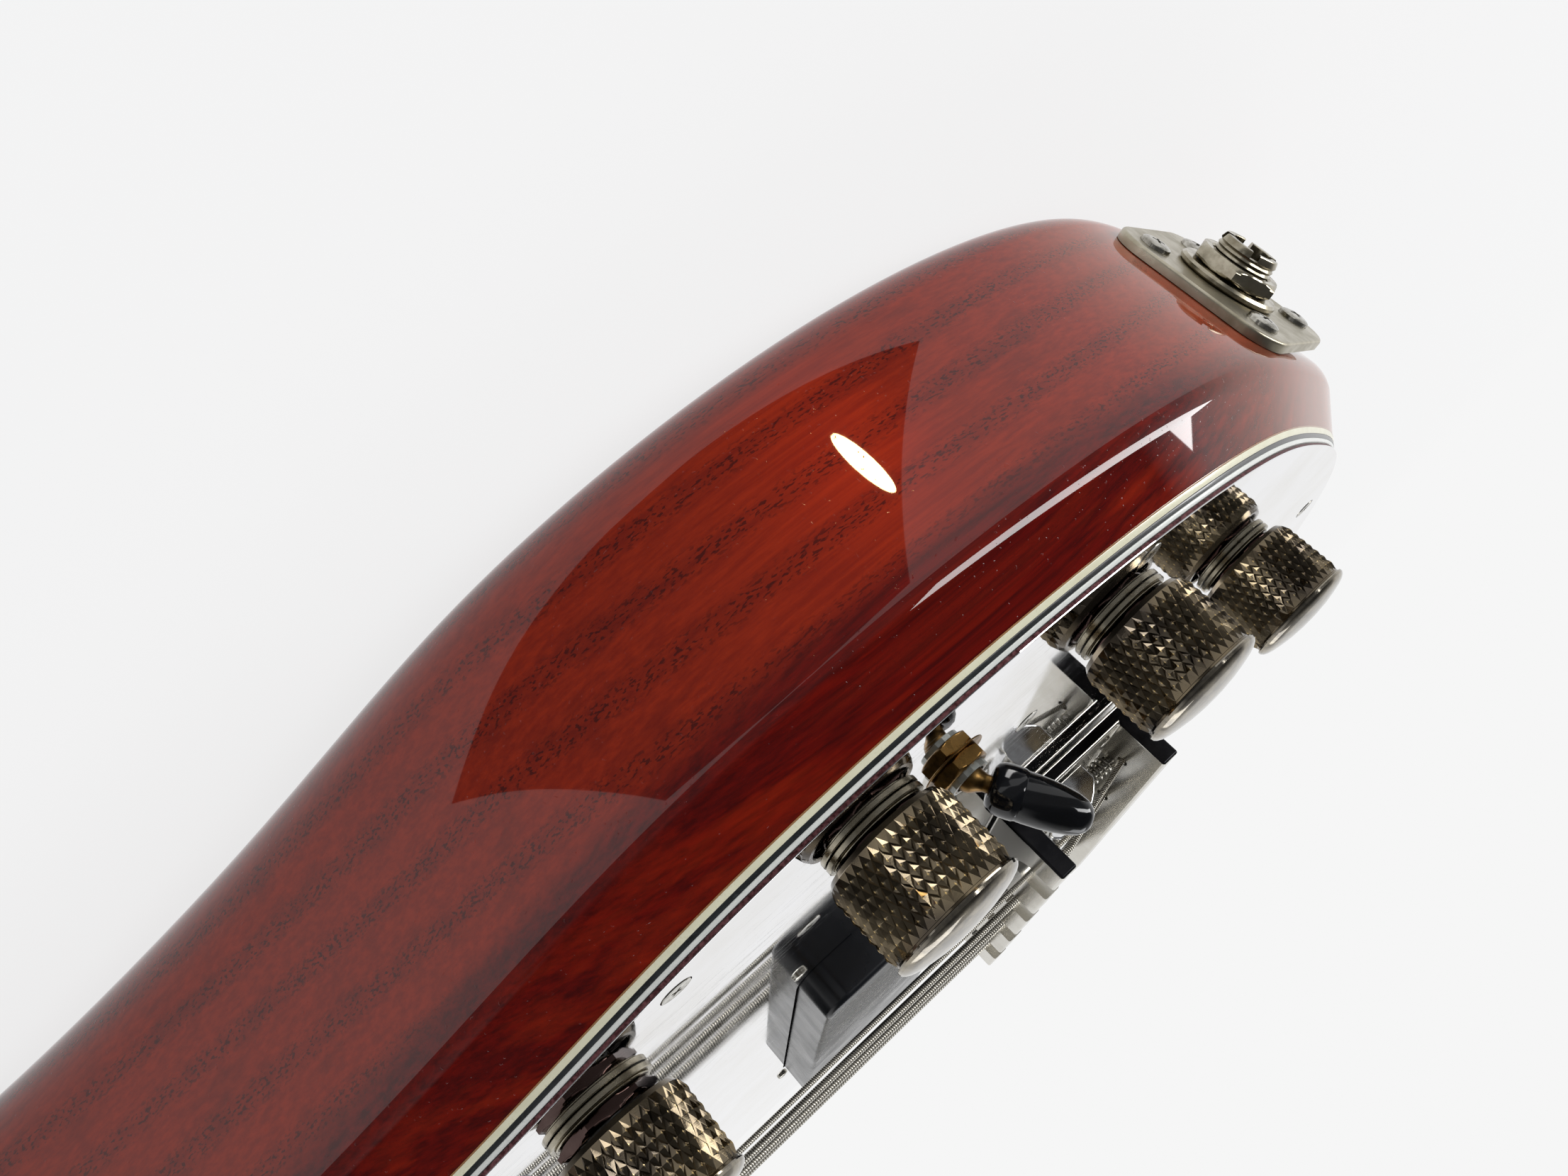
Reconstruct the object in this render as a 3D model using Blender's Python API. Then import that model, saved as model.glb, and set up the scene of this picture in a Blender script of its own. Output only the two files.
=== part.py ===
# Fretless electric bass guitar, four strings, lying on its back.
# Frame: the flat of the back is on z = 0, +X runs to the headstock, the treble side is at -Y,
# and x = 0, y = 0 is under the middle of the bridge saddles. Lengths are in millimetres.

import bpy
import bmesh
import math
import numpy as np
from mathutils import Matrix, Vector

MM = 0.001

# Fits between pieces
fit = 0.3              # round a piece that sits in another
sheet_gap = 0.1        # between flat sheets that lie on each other

# Body
core_top = 47.8        # wood under the metal plate
back_round = 12.0      # radius of the back edge from the waist to the horns
tail_round = 6.0       # radius of the back edge round the tail
round_change = (-30.0, 110.0)  # where the one passes into the other, along X
side_round = 5.0       # where the side turns into the front bevel
bevel_run = 7.0        # front bevel, across
bevel_drop = 7.5       # front bevel, down
binding_height = 1.6
binding_width = 2.4
plate_thickness = 0.6
plate_edge = 0.15      # small chamfer of the plate
outline_count = 96
neck_wood_under = 30.0  # body left below the neck pocket

shoulder = core_top - binding_height - sheet_gap
plate_low = core_top + sheet_gap
plate_top = plate_low + plate_thickness

# Lower bout, treble side: the controls follow this arc
bout_centre = Vector((42.0, -22.6, 0.0))
bout_radius = 129.0

# Neck and strings
scale_length = 864.0
board_start = 212.0
board_thickness = 6.0
board_radius = 305.0
board_margin = 5.2     # board beside the outer strings
neck_gap_z = 2.3       # underside of the board above the core
heel_depth = 19.8
nut_depth = 15.5
heel_end = 292.0
shaft_start = 335.0
nut_thickness = 5.0
nut_clear = 0.7        # string above the board at the nut
spread_bridge = 57.0
spread_nut = 31.0
string_rise = 11.5     # treble string above the plate at its saddle
string_names = ("g", "d", "a", "e")
string_diameters = (1.1, 1.65, 2.15, 2.65)
string_crown = (0.0, 0.9, 1.3, 1.0)       # middle strings stand higher at the bridge
saddle_setback = (0.0, 1.5, 3.0, 5.0)     # longer scale for thicker strings

board_low = core_top + neck_gap_z + sheet_gap
board_top = board_low + board_thickness
neck_top = board_low - sheet_gap

# Truss rod
rod_radius = 3.0
rod_start = board_start + 18.0
rod_height = neck_top - 5.2

# Headstock
head_tilt = math.radians(5.0)
head_thickness = 14.0
head_drop = 1.1        # head face below the top of the neck
head_length = 176.0
post_near = 40.0
post_far = 104.0
post_aside = 27.0

# Tuners
post_radius = 4.7
post_rise = 16.0
gear_radius = 9.0
gear_thickness = 4.0
worm_radius = 3.0
worm_mesh = 0.4        # running clearance between gear and worm
tuner_sheet = 2.0
ear_thickness = 3.0
ear_span = 9.5         # from the post's axis to the inner face of an ear
key_shaft = 2.0
key_reach = 20.0       # from the post's axis to the paddle
key_length = 19.0
key_width = 22.0
key_thickness = 4.6
wind_turns = 2
wind_gap = 0.45

# Bridge
bridge_width = 80.0
bridge_base = 3.0
front_wall_x = (12.0, 16.2)
rear_wall_x = (-20.0, -15.6)
front_wall_rise = 17.0
rear_wall_rise = 15.0
saddle_length = 10.0
saddle_width = 16.4
anchor_drop = 4.5
wall_slot = 7.0

# Pickups
pickup_length = 113.0
pickup_width = 36.0
pickup_corner = 5.0
pickup_rise = 7.5
pickup_height = 24.0
pickup_bevel = 0.9
pickup_front_bridge = 67.5
pickup_front_neck = 154.0
pickup_fit = 0.5

# Controls
# each knob: angle round the bout, and distance in from its edge
knob_places = ((-49.3, 33.3), (-17.5, 29.5), (9.6, 27.5), (36.6, 27.8))
knob_radius = 9.5
knob_grip = 11.0
knob_chamfer = 0.7
knob_dome = 2.7
knob_lift = (1.9, 1.9, 1.9, 3.5)
knob_recess = 7.75
knob_recess_depth = 3.4
pot_radius = 8.3
pot_height = 9.0
bushing_radius = 4.6
bushing_rise = 4.6
shaft_radius = 2.95
washer_radius = 7.65
washer_thickness = 0.8
nut_across = 12.7
nut_height = 2.1
shelf = 3.8            # wood left above the control cavity
cavity_outer = bout_radius - 18.0
cavity_inner = bout_radius - 47.0
cavity_angles = (-56.0, 44.0)
cover_lip = 4.0
cover_thickness = 2.0

# Toggle switch
toggle_beside = (-14.927, 5.28)    # from the third knob's axis, along X and Y
toggle_lean = math.radians(28.0)
toggle_pivot_rise = 2.6
toggle_bushing = 3.0
toggle_bore = 2.35
toggle_ball = 2.0
toggle_rod = 1.2
toggle_sleeve_start = 2.6
toggle_sleeve_length = 13.4
toggle_sleeve_radius = 3.5
toggle_nut_across = 8.0
toggle_nut_height = 2.0
toggle_box = (13.0, 8.0, 10.0)

# Jack
jack_height = 23.2
jack_angle = math.radians(36.0)
jack_along = -42.2     # place along the plate's plane, towards the tail from the origin
jack_plate_size = 30.0
jack_plate_corner = 6.0
jack_plate_thickness = 1.6
jack_bushing = 4.7
jack_bore = 3.2
jack_rise = 8.0
jack_barrel = 6.2
jack_barrel_length = 27.0

# Strap buttons
strap_tail_z = 24.0
strap_horn_z = 22.0
strap_cap = 8.0
strap_neck = 3.6
strap_length = 13.0
strap_screw = 1.9
strap_screw_length = 22.0


def to_linear(channel):
    return channel / 12.92 if channel <= 0.04045 else ((channel + 0.055) / 1.055) ** 2.4


def material(name, colour, roughness, metallic=0.0, coat=0.0):
    """A Principled material whose colour is given as an sRGB hex string."""
    made = bpy.data.materials.new(name)
    made.use_nodes = True
    shader = made.node_tree.nodes["Principled BSDF"]
    rgb = [to_linear(int(colour[i:i + 2], 16) / 255.0) for i in (0, 2, 4)]
    shader.inputs["Base Color"].default_value = (*rgb, 1.0)
    shader.inputs["Roughness"].default_value = roughness
    shader.inputs["Metallic"].default_value = metallic
    shader.inputs["Coat Weight"].default_value = coat
    made.diffuse_color = (*rgb, 1.0)
    return made


def finish(name, bm, look):
    """Turn a bmesh in metres into a named object with smooth round faces."""
    bmesh.ops.recalc_face_normals(bm, faces=bm.faces)
    mesh = bpy.data.meshes.new(name)
    bm.to_mesh(mesh)
    bm.free()
    mesh.shade_smooth()
    mesh.set_sharp_from_angle(angle=math.radians(35.0))
    piece = bpy.data.objects.new(name, mesh)
    if look is not None:
        mesh.materials.append(look)
    bpy.context.collection.objects.link(piece)
    return piece


def loft(name, rings, look):
    """Skin a closed solid through rings with equally many points, flat at both ends."""
    bm = bmesh.new()
    loops = [[bm.verts.new(Vector(point) * MM) for point in ring] for ring in rings]
    count = len(rings[0])
    for low, high in zip(loops, loops[1:]):
        for i in range(count):
            j = (i + 1) % count
            bm.faces.new((low[i], low[j], high[j], high[i]))
    bm.faces.new(loops[0][::-1])
    bm.faces.new(loops[-1])
    return finish(name, bm, look)


def band(name, rings, look):
    """Skin a closed ring-shaped solid: the last ring joins the first."""
    bm = bmesh.new()
    loops = [[bm.verts.new(Vector(point) * MM) for point in ring] for ring in rings]
    count = len(rings[0])
    for low, high in zip(loops, loops[1:] + loops[:1]):
        for i in range(count):
            j = (i + 1) % count
            bm.faces.new((low[i], low[j], high[j], high[i]))
    return finish(name, bm, look)


def turned(name, profile, look, sides=24):
    """Turn (radius, height) points round Z. Radius 0 makes a pole; without poles it is a ring."""
    bm = bmesh.new()
    rows = []
    for radius, height in profile:
        if radius == 0.0:
            rows.append([bm.verts.new((0.0, 0.0, height * MM))])
            continue
        row = []
        for k in range(sides):
            angle = math.tau * k / sides
            point = Vector((radius * math.cos(angle), radius * math.sin(angle), height))
            row.append(bm.verts.new(point * MM))
        rows.append(row)
    closed = len(rows[0]) > 1
    for low, high in zip(rows, rows[1:] + (rows[:1] if closed else [])):
        for i in range(sides):
            j = (i + 1) % sides
            corners = [low[i % len(low)], low[j % len(low)], high[j % len(high)], high[i % len(high)]]
            bm.faces.new(list(dict.fromkeys(corners)))
    return finish(name, bm, look)


def prism(name, outline, low, high, look, edge=0.0):
    """Extrude an (x, y) outline from z low to z high, with its upper rim drawn in by edge."""
    rings = [[(x, y, low) for x, y in outline]]
    if edge:
        rings.append([(x, y, high - edge) for x, y in outline])
        outline = inset(outline, edge)
    rings.append([(x, y, high) for x, y in outline])
    return loft(name, rings, look)


def block(name, low, high, look=None):
    corners = [(low[0], low[1]), (high[0], low[1]), (high[0], high[1]), (low[0], high[1])]
    return prism(name, corners, low[2], high[2], look)


def rod(name, start, end, radius, look=None, sides=16):
    """A straight round rod between two points."""
    start, end = Vector(start), Vector(end)
    piece = turned(name, [(0.0, 0.0), (radius, 0.0), (radius, (end - start).length),
                          (0.0, (end - start).length)], look, sides)
    piece.matrix_world = frame_at(start, end - start)
    return piece


def frame_at(origin, up, ahead=None):
    """A placing matrix whose Z runs along up and whose X lies as near to ahead as it can."""
    up = Vector(up).normalized()
    if ahead is None:
        ahead = Vector((1.0, 0.0, 0.0)) if abs(up.x) < 0.9 else Vector((0.0, 1.0, 0.0))
    side = up.cross(Vector(ahead)).normalized()
    ahead = side.cross(up)
    turn = Matrix((ahead, side, up)).transposed().to_4x4()
    return Matrix.Translation(Vector(origin) * MM) @ turn


def combine(target, other, operation):
    """Boolean that keeps the second object out of the model."""
    other.hide_render = True
    other.display_type = 'WIRE'
    step = target.modifiers.new(operation.title(), 'BOOLEAN')
    step.operation = operation
    step.solver = 'EXACT'
    step.object = other


def cut(target, *cutters):
    for cutter in cutters:
        combine(target, cutter, 'DIFFERENCE')


def fuse(target, *others):
    for other in others:
        combine(target, other, 'UNION')


def rounded_rectangle(length, width, corner, steps=4):
    """Points round a rectangle with rounded corners, length along X."""
    points = []
    for number, (sx, sy) in enumerate(((1, 1), (-1, 1), (-1, -1), (1, -1))):
        for k in range(steps + 1):
            angle = math.pi / 2.0 * (number + k / steps)
            points.append((sx * (length / 2.0 - corner) + corner * math.cos(angle),
                           sy * (width / 2.0 - corner) + corner * math.sin(angle)))
    return points


def smooth_loop(points, count):
    """Points along the closed smooth curve through points, closer together where it bends."""
    knots = np.array(points, float)
    number = len(knots)
    after = np.roll(knots, -1, axis=0)
    gap = np.linalg.norm(after - knots, axis=1)
    before_gap = np.roll(gap, 1)
    slope = (after - knots) / gap[:, None]
    system = np.zeros((number, number))
    for i in range(number):
        system[i, i - 1] += before_gap[i]
        system[i, i] += 2.0 * (before_gap[i] + gap[i])
        system[i, (i + 1) % number] += gap[i]
    second = np.linalg.solve(system, 6.0 * (slope - np.roll(slope, 1, axis=0)))
    dense = []
    for i in range(number):
        j = (i + 1) % number
        h = gap[i]
        for t in np.linspace(0.0, h, 40, endpoint=False):
            dense.append(second[i] * (h - t) ** 3 / (6.0 * h) + second[j] * t ** 3 / (6.0 * h)
                         + (knots[i] / h - second[i] * h / 6.0) * (h - t)
                         + (knots[j] / h - second[j] * h / 6.0) * t)
    dense = np.array(dense)
    run = np.roll(dense, -1, axis=0) - dense
    heading = np.unwrap(np.arctan2(run[:, 1], run[:, 0]))
    bend = np.abs(np.roll(heading, -1) - heading)
    bend[-1] = bend[-2]
    travel = np.linalg.norm(run, axis=1)
    # one step is worth 30 mm of straight line or 7 degrees of bend
    weight = travel / 30.0 + bend / math.radians(7.0)
    total = np.concatenate(([0.0], np.cumsum(weight)))
    wanted = np.linspace(0.0, total[-1], count, endpoint=False)
    closed = np.vstack((dense, dense[:1]))
    return [(float(np.interp(w, total, closed[:, 0])), float(np.interp(w, total, closed[:, 1])))
            for w in wanted]


def inset(loop, distance):
    """Move a counterclockwise loop towards its inside, by one distance or by one for each point."""
    moved = []
    count = len(loop)
    distances = [distance] * count if isinstance(distance, float) else distance
    for i, (x, y) in enumerate(loop):
        before = Vector(loop[i - 1]).to_2d()
        after = Vector(loop[(i + 1) % count]).to_2d()
        here = Vector((x, y))
        first = (here - before).normalized()
        second = (after - here).normalized()
        normal = Vector((-first.y - second.y, first.x + second.x)).normalized()
        stretch = max(0.5, normal.dot(Vector((-first.y, first.x))))
        moved.append((x + normal.x * distances[i] / stretch, y + normal.y * distances[i] / stretch))
    return moved


def bout_point(angle, radius):
    """A point round the treble bout; angle in degrees from -Y, positive towards the neck."""
    turn = math.radians(angle)
    return Vector((bout_centre.x + radius * math.sin(turn), bout_centre.y - radius * math.cos(turn), 0.0))


def knob_spot(number):
    angle, depth = knob_places[number - 1]
    return bout_point(angle, bout_radius - depth)


def toggle_spot():
    return knob_spot(3) + Vector((*toggle_beside, 0.0))


def body_outline():
    """The widest outline of the body, counterclockwise from the tail along the treble side."""
    arc = [bout_point(angle, bout_radius) for angle in (-15.0, 4.0, 20.0, 35.0)]
    treble = [(-88.5, 0.0), (-86.5, -28.0), (-78.5, -67.0), (-62.0, -98.0),
              (-44.0, -117.0), (-23.0, -134.0)]
    treble += [(point.x, point.y) for point in arc]
    treble += [(135.0, -119.5), (155.0, -112.6), (185.0, -108.0), (215.0, -110.5), (250.0, -118.0),
               (280.0, -120.0), (306.0, -114.0), (324.0, -98.0), (322.0, -77.0), (303.0, -64.0),
               (281.0, -53.0), (268.0, -38.0)]
    bass = [(270.0, -15.0), (283.0, 15.0), (296.0, 40.0), (322.0, 59.0), (352.0, 68.0),
            (382.0, 77.0), (398.0, 92.0), (395.0, 112.0), (376.0, 123.0), (345.0, 128.0),
            (300.0, 131.0), (250.0, 125.0), (205.0, 116.0), (165.0, 118.5), (115.0, 136.0),
            (60.0, 151.0), (5.0, 149.0), (-42.0, 124.0), (-73.0, 83.0), (-86.0, 38.0)]
    return smooth_loop(treble + bass, outline_count)


def lift(loop, height):
    return [(x, y, height) for x, y in loop]


def string_line(index):
    """Height and side of a string's centre at its saddle and at the nut."""
    share = index / 3.0 - 0.5
    height = plate_top + string_rise + string_crown[index]
    saddle = Vector((-saddle_setback[index], spread_bridge * share, height))
    side = spread_nut * share
    rise = board_top - side ** 2 / (2.0 * board_radius) + nut_clear + string_diameters[index] / 2.0
    return saddle, Vector((scale_length, side, rise))


def neck_half(x):
    """Half the width of the neck and board at x."""
    share = x / scale_length
    outer = (spread_bridge + (spread_nut - spread_bridge) * share) / 2.0
    return outer + board_margin


def head_frame():
    """Frame of the head's face: X along the head, Z out of the face."""
    along = Vector((math.cos(head_tilt), 0.0, -math.sin(head_tilt)))
    out = Vector((math.sin(head_tilt), 0.0, math.cos(head_tilt)))
    origin = Vector((scale_length + nut_thickness, 0.0, neck_top - head_drop))
    return frame_at(origin, out, along)


def post_place(index):
    """The post's place on the head's face. The outer strings use the posts near the nut."""
    along = post_near if index in (0, 3) else post_far
    aside = -post_aside if index < 2 else post_aside
    return Vector((along, aside, 0.0))


def string_route(index):
    """Centre points of one string from its anchor to the last turn on its post."""
    saddle, nut = string_line(index)
    radius = string_diameters[index] / 2.0
    anchor = Vector((rear_wall_x[0] - 1.5, saddle.y, saddle.z - anchor_drop))
    over_nut = nut + (nut - saddle).normalized() * nut_thickness
    route = [anchor, saddle.lerp(anchor, 0.04), saddle.lerp(nut, 0.001), nut, over_nut]
    frame = head_frame()
    local = frame.inverted() @ (over_nut * MM) / MM
    post = post_place(index)
    wrap = post_radius + fit + radius
    inner = 1.0 if post.y < 0.0 else -1.0
    reach = Vector((local.x - post.x, local.y - post.y))
    spread = math.acos(wrap / reach.length)
    start = math.atan2(reach.y, reach.x) - inner * spread
    pitch = string_diameters[index] + wind_gap
    steps = 12
    top = post_rise - 5.0
    for k in range(wind_turns * steps + 1):
        angle = start - inner * math.tau * k / steps
        spot = post + Vector((wrap * math.cos(angle), wrap * math.sin(angle), top - pitch * k / steps))
        route.append(frame @ (spot * MM) / MM)
    return route


def least_self_gap(route, radius, apart=6):
    """Least surface distance between stretches of a route that aren't neighbours."""
    least = 1e9
    for i, here in enumerate(route):
        for there in route[i + apart:]:
            least = min(least, (here - there).length - 2.0 * radius)
    return least


def tube(name, route, radius, look):
    """A tube along points, as a poly curve with filled ends."""
    curve = bpy.data.curves.new(name, 'CURVE')
    curve.dimensions = '3D'
    curve.bevel_depth = radius * MM
    curve.bevel_resolution = 1
    curve.use_fill_caps = True
    line = curve.splines.new('POLY')
    line.points.add(len(route) - 1)
    for spot, point in zip(line.points, route):
        spot.co = (*(point * MM), 1.0)
    curve.materials.append(look)
    piece = bpy.data.objects.new(name, curve)
    bpy.context.collection.objects.link(piece)
    return piece


def polar_strip(outer, inner, angles, grow=0.0):
    """A curved slot round the bout, with round ends, grown by grow on all sides."""
    middle = (outer + inner) / 2.0
    half = (outer - inner) / 2.0 + grow
    first, last = angles
    steps = 10
    loop = []
    for start, end, radius in ((first, last, middle + half), (last, first, middle - half)):
        for k in range(steps + 1):
            loop.append(bout_point(start + (end - start) * k / steps, radius))
        turn = math.radians(end) - (math.pi / 2.0 if end == last else -math.pi / 2.0)
        for k in range(1, 6):
            angle = turn + math.pi * k / 6.0
            loop.append(bout_point(end, middle) + half * Vector((math.cos(angle), math.sin(angle), 0.0)))
    return [(point.x, point.y) for point in loop]


def neck_pocket(name, low, grow):
    """The space that the neck's heel takes, open over the neck end of the body."""
    start = board_start - grow
    end = heel_end + 40.0
    outline = [(start, -neck_half(start) - grow), (end, -neck_half(end) - grow),
               (end, neck_half(end) + grow), (start, neck_half(start) + grow)]
    return prism(name, outline, low, plate_top + 20.0, None)


def pickup_outline(front, grow=0.0):
    shape = rounded_rectangle(pickup_width + 2.0 * grow, pickup_length + 2.0 * grow, pickup_corner + grow)
    return [(x + front - pickup_width / 2.0, y) for x, y in shape]


def jack_frame():
    """Frame of the jack plate's inner face, which clears the body's side at the nearest point."""
    outward = Vector((-math.sin(jack_angle), -math.cos(jack_angle), 0.0))
    along = Vector((-math.cos(jack_angle), math.sin(jack_angle), 0.0))
    reach = max(x * outward.x + y * outward.y for x, y in body_outline())
    origin = outward * (reach + fit) + along * jack_along + Vector((0.0, 0.0, jack_height))
    return frame_at(origin, outward, Vector((0.0, 0.0, 1.0)))


def strap_frames():
    """Frames of the two strap buttons: at the tail and at the tip of the bass horn."""
    outline = body_outline()
    tail = Vector((min(x for x, y in outline), 0.0, strap_tail_z))
    tip = max(outline, key=lambda point: point[0])
    return (("tail", frame_at(tail, Vector((-1.0, 0.0, 0.0)))),
            ("horn", frame_at(Vector((tip[0], tip[1], strap_horn_z)), Vector((1.0, 0.0, 0.0)))))


def back_radius(x):
    low, high = round_change
    share = min(1.0, max(0.0, (x - low) / (high - low)))
    return tail_round + (back_round - tail_round) * share * share * (3.0 - 2.0 * share)


def make_body(look):
    outline = body_outline()
    radii = [back_radius(x) for x, y in outline]
    rings = []
    for k in range(5):
        angle = math.pi / 2.0 * k / 4
        loop = inset(outline, [radius * (1.0 - math.sin(angle)) for radius in radii])
        rings.append([(x, y, radius * (1.0 - math.cos(angle))) for (x, y), radius in zip(loop, radii)])
    turn = math.atan2(bevel_run, bevel_drop)
    bevel_foot = shoulder - bevel_drop
    for k in range(3):
        angle = turn * k / 2
        rings.append(lift(inset(outline, side_round * (1.0 - math.cos(angle))),
                          bevel_foot - 1.5 + side_round * math.sin(angle)))
    rings.append(lift(inset(outline, bevel_run), shoulder))
    core_inset = bevel_run + binding_width + sheet_gap
    rings.append(lift(inset(outline, core_inset), shoulder))
    rings.append(lift(inset(outline, core_inset), core_top))
    body = loft("body", rings, look)

    above = core_top + 20.0
    cavity_top = core_top - shelf
    cut(body, neck_pocket("cut_neck_body", neck_wood_under, fit))
    for front, tag in ((pickup_front_bridge, "bridge"), (pickup_front_neck, "neck")):
        floor = plate_top + pickup_rise - pickup_height - fit
        cut(body, prism("cut_pickup_body_" + tag, pickup_outline(front, pickup_fit), floor, above, None))
    cut(body,
        prism("cut_cavity", polar_strip(cavity_outer, cavity_inner, cavity_angles), -5.0, cavity_top, None),
        prism("cut_cover_seat", polar_strip(cavity_outer, cavity_inner, cavity_angles, cover_lip + fit),
              -5.0, cover_thickness + fit, None))
    for number in range(1, 5):
        spot = knob_spot(number)
        cut(body, rod("cut_pot_body_%d" % number, spot + Vector((0, 0, 30)), spot + Vector((0, 0, above)),
                      bushing_radius + fit))
    spot = toggle_spot()
    cut(body, rod("cut_toggle_body", spot + Vector((0, 0, 30)), spot + Vector((0, 0, above)),
                  toggle_bushing + fit))
    frame = jack_frame()
    well = rod("cut_jack_body", (0, 0, -45.0), (0, 0, 10.0), jack_barrel + fit, sides=20)
    well.matrix_world = frame @ well.matrix_world
    cut(body, well)
    for tag, place in strap_frames():
        hole = rod("cut_strap_" + tag, (0, 0, -strap_screw_length - fit), (0, 0, 5.0),
                   strap_screw + fit, sides=12)
        hole.matrix_world = place @ hole.matrix_world
        cut(body, hole)


def make_binding(look):
    outline = body_outline()
    low = shoulder + sheet_gap
    inner = bevel_run + binding_width
    outer_high = bevel_run + binding_height
    rings = [lift(inset(outline, bevel_run), low), lift(inset(outline, outer_high), core_top),
             lift(inset(outline, inner), core_top), lift(inset(outline, inner), low)]
    binding = band("binding", rings, look)
    cut(binding, neck_pocket("cut_neck_binding", neck_wood_under, fit))


def make_top_plate(look):
    outline = body_outline()
    edge = inset(outline, bevel_run + binding_height + sheet_gap)
    plate = prism("top_plate", edge, plate_low, plate_top, look, plate_edge)
    cut(plate, neck_pocket("cut_neck_plate", neck_wood_under, fit))
    for front, tag in ((pickup_front_bridge, "bridge"), (pickup_front_neck, "neck")):
        cut(plate, prism("cut_pickup_plate_" + tag, pickup_outline(front, pickup_fit),
                         plate_low - 10.0, plate_top + 10.0, None))
    for number in range(1, 5):
        spot = knob_spot(number)
        cut(plate, rod("cut_pot_plate_%d" % number, spot + Vector((0, 0, plate_low - 10.0)),
                       spot + Vector((0, 0, plate_top + 10.0)), bushing_radius + fit))
    spot = toggle_spot()
    cut(plate, rod("cut_toggle_plate", spot + Vector((0, 0, plate_low - 10.0)),
                   spot + Vector((0, 0, plate_top + 10.0)), toggle_bushing + fit))


def make_control_cover(look):
    prism("control_cover", polar_strip(cavity_outer, cavity_inner, cavity_angles, cover_lip),
          0.0, cover_thickness, look)


def neck_ring(x, top, depth, power):
    """One section of the neck: flat on top, from boxy to round below as power falls to 2."""
    half = neck_half(min(x, scale_length))
    ring = [(x, half, top)]
    for k in range(13):
        angle = math.pi * k / 12
        side = math.copysign(abs(math.cos(angle)) ** (2.0 / power), math.cos(angle))
        drop = abs(math.sin(angle)) ** (2.0 / power)
        ring.append((x, half * side, top - 0.6 - (depth - 0.6) * drop))
    ring.append((x, -half, top))
    return ring


def head_outline():
    """Half of the head's edge is drawn, from the nut to the tip, and mirrored."""
    start = neck_half(scale_length) - 0.3
    edge = [(0.0, start), (6.0, start + 1.6), (13.0, start + 7.5), (20.0, start + 14.5), (28.0, 39.5),
            (38.0, 42.3), (52.0, 42.8), (86.0, 40.3), (118.0, 38.5), (138.0, 36.3), (152.0, 32.0),
            (164.0, 25.0), (172.0, 15.5), (head_length, 5.0)]
    return [(x, -y) for x, y in edge] + [(x, y) for x, y in reversed(edge)]


def make_neck(look):
    heel_low = neck_wood_under + fit
    depth = neck_top - heel_low
    rings = [neck_ring(board_start, neck_top, depth, 12.0), neck_ring(heel_end, neck_top, depth, 12.0),
             neck_ring(heel_end + 12.0, neck_top, heel_depth, 5.0),
             neck_ring(heel_end + 26.0, neck_top, heel_depth - 0.8, 3.0)]
    for k in range(6):
        share = k / 5.0
        x = shaft_start + (scale_length - 20.0 - shaft_start) * share
        rings.append(neck_ring(x, neck_top, heel_depth - 1.6 + (nut_depth - heel_depth + 1.6) * share, 2.2))
    end = scale_length + nut_thickness
    rings.append(neck_ring(end - 12.0, neck_top, nut_depth - 0.3, 2.8))
    rings.append(neck_ring(end - 0.2, neck_top, nut_depth - 0.2, 7.0))
    rings.append([(end + 0.2, y, min(z, neck_top - head_drop - 0.8)) for x, y, z in rings[-1]])
    rings.append([(end + 16.0, y * 0.9, neck_top - 4.0 + (z - neck_top) * 0.6) for x, y, z in rings[-1]])
    neck = loft("neck", rings, look)

    frame = head_frame()
    head = prism("head_blank", head_outline(), -head_thickness, 0.0, None)
    head.matrix_world = frame
    fuse(neck, head)
    for index in range(4):
        spot = post_place(index)
        hole = rod("cut_post_%s" % string_names[index], spot + Vector((0, 0, -head_thickness - 5.0)),
                   spot + Vector((0, 0, 5.0)), post_radius + fit)
        hole.matrix_world = frame @ hole.matrix_world
        cut(neck, hole)
    slot_half = rod_radius + fit
    cut(neck, block("cut_rod_slot", (rod_start - 1.0, -slot_half, rod_height - slot_half),
                    (end + 22.0, slot_half, neck_top + 5.0)))


def make_truss_rod(look):
    end = scale_length + nut_thickness + 8.0
    rod("truss_rod", (rod_start, 0.0, rod_height), (end, 0.0, rod_height), rod_radius, look, 8)


def make_truss_rod_cover(look):
    shape = []
    for along, half in ((2.0, 9.0), (5.0, 11.5), (12.0, 11.5), (26.0, 7.0), (33.0, 3.5)):
        shape.append((along, half))
    loop = [(x, -y) for x, y in shape] + [(x, y) for x, y in reversed(shape)]
    cover = prism("truss_rod_cover", loop, fit, fit + 2.0, look, 0.4)
    cover.matrix_world = head_frame()


def make_fretboard(look):
    rings = []
    for x in (board_start, scale_length - 0.1):
        half = neck_half(x)
        ring = [(x, half, board_low), (x, -half, board_low)]
        for k in range(9):
            y = -half + 2.0 * half * k / 8
            ring.append((x, y, board_top - y * y / (2.0 * board_radius)))
        rings.append(ring)
    loft("fretboard", rings, look)


def make_nut(look):
    half = neck_half(scale_length) - 0.2
    low = neck_top + sheet_gap
    front, back = scale_length, scale_length + nut_thickness - 0.2
    edge_height = board_top + 1.0
    top = []
    for index in range(4):
        nut = string_line(index)[1]
        width = string_diameters[index] / 2.0 + fit
        floor = nut.z - width
        crest = nut.z + 0.5
        top += [(nut.y - width, crest), (nut.y - width, nut.z), (nut.y - width * 0.6, floor),
                (nut.y + width * 0.6, floor), (nut.y + width, nut.z), (nut.y + width, crest)]
    loop = [(half, low), (half, edge_height)] + top[::-1] + [(-half, edge_height), (-half, low)]
    face = [(front, y, z) for y, z in loop]
    loft("nut", [face, [(back, y, z - (0.5 if z > low else 0.0)) for x, y, z in face]], look)


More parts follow.
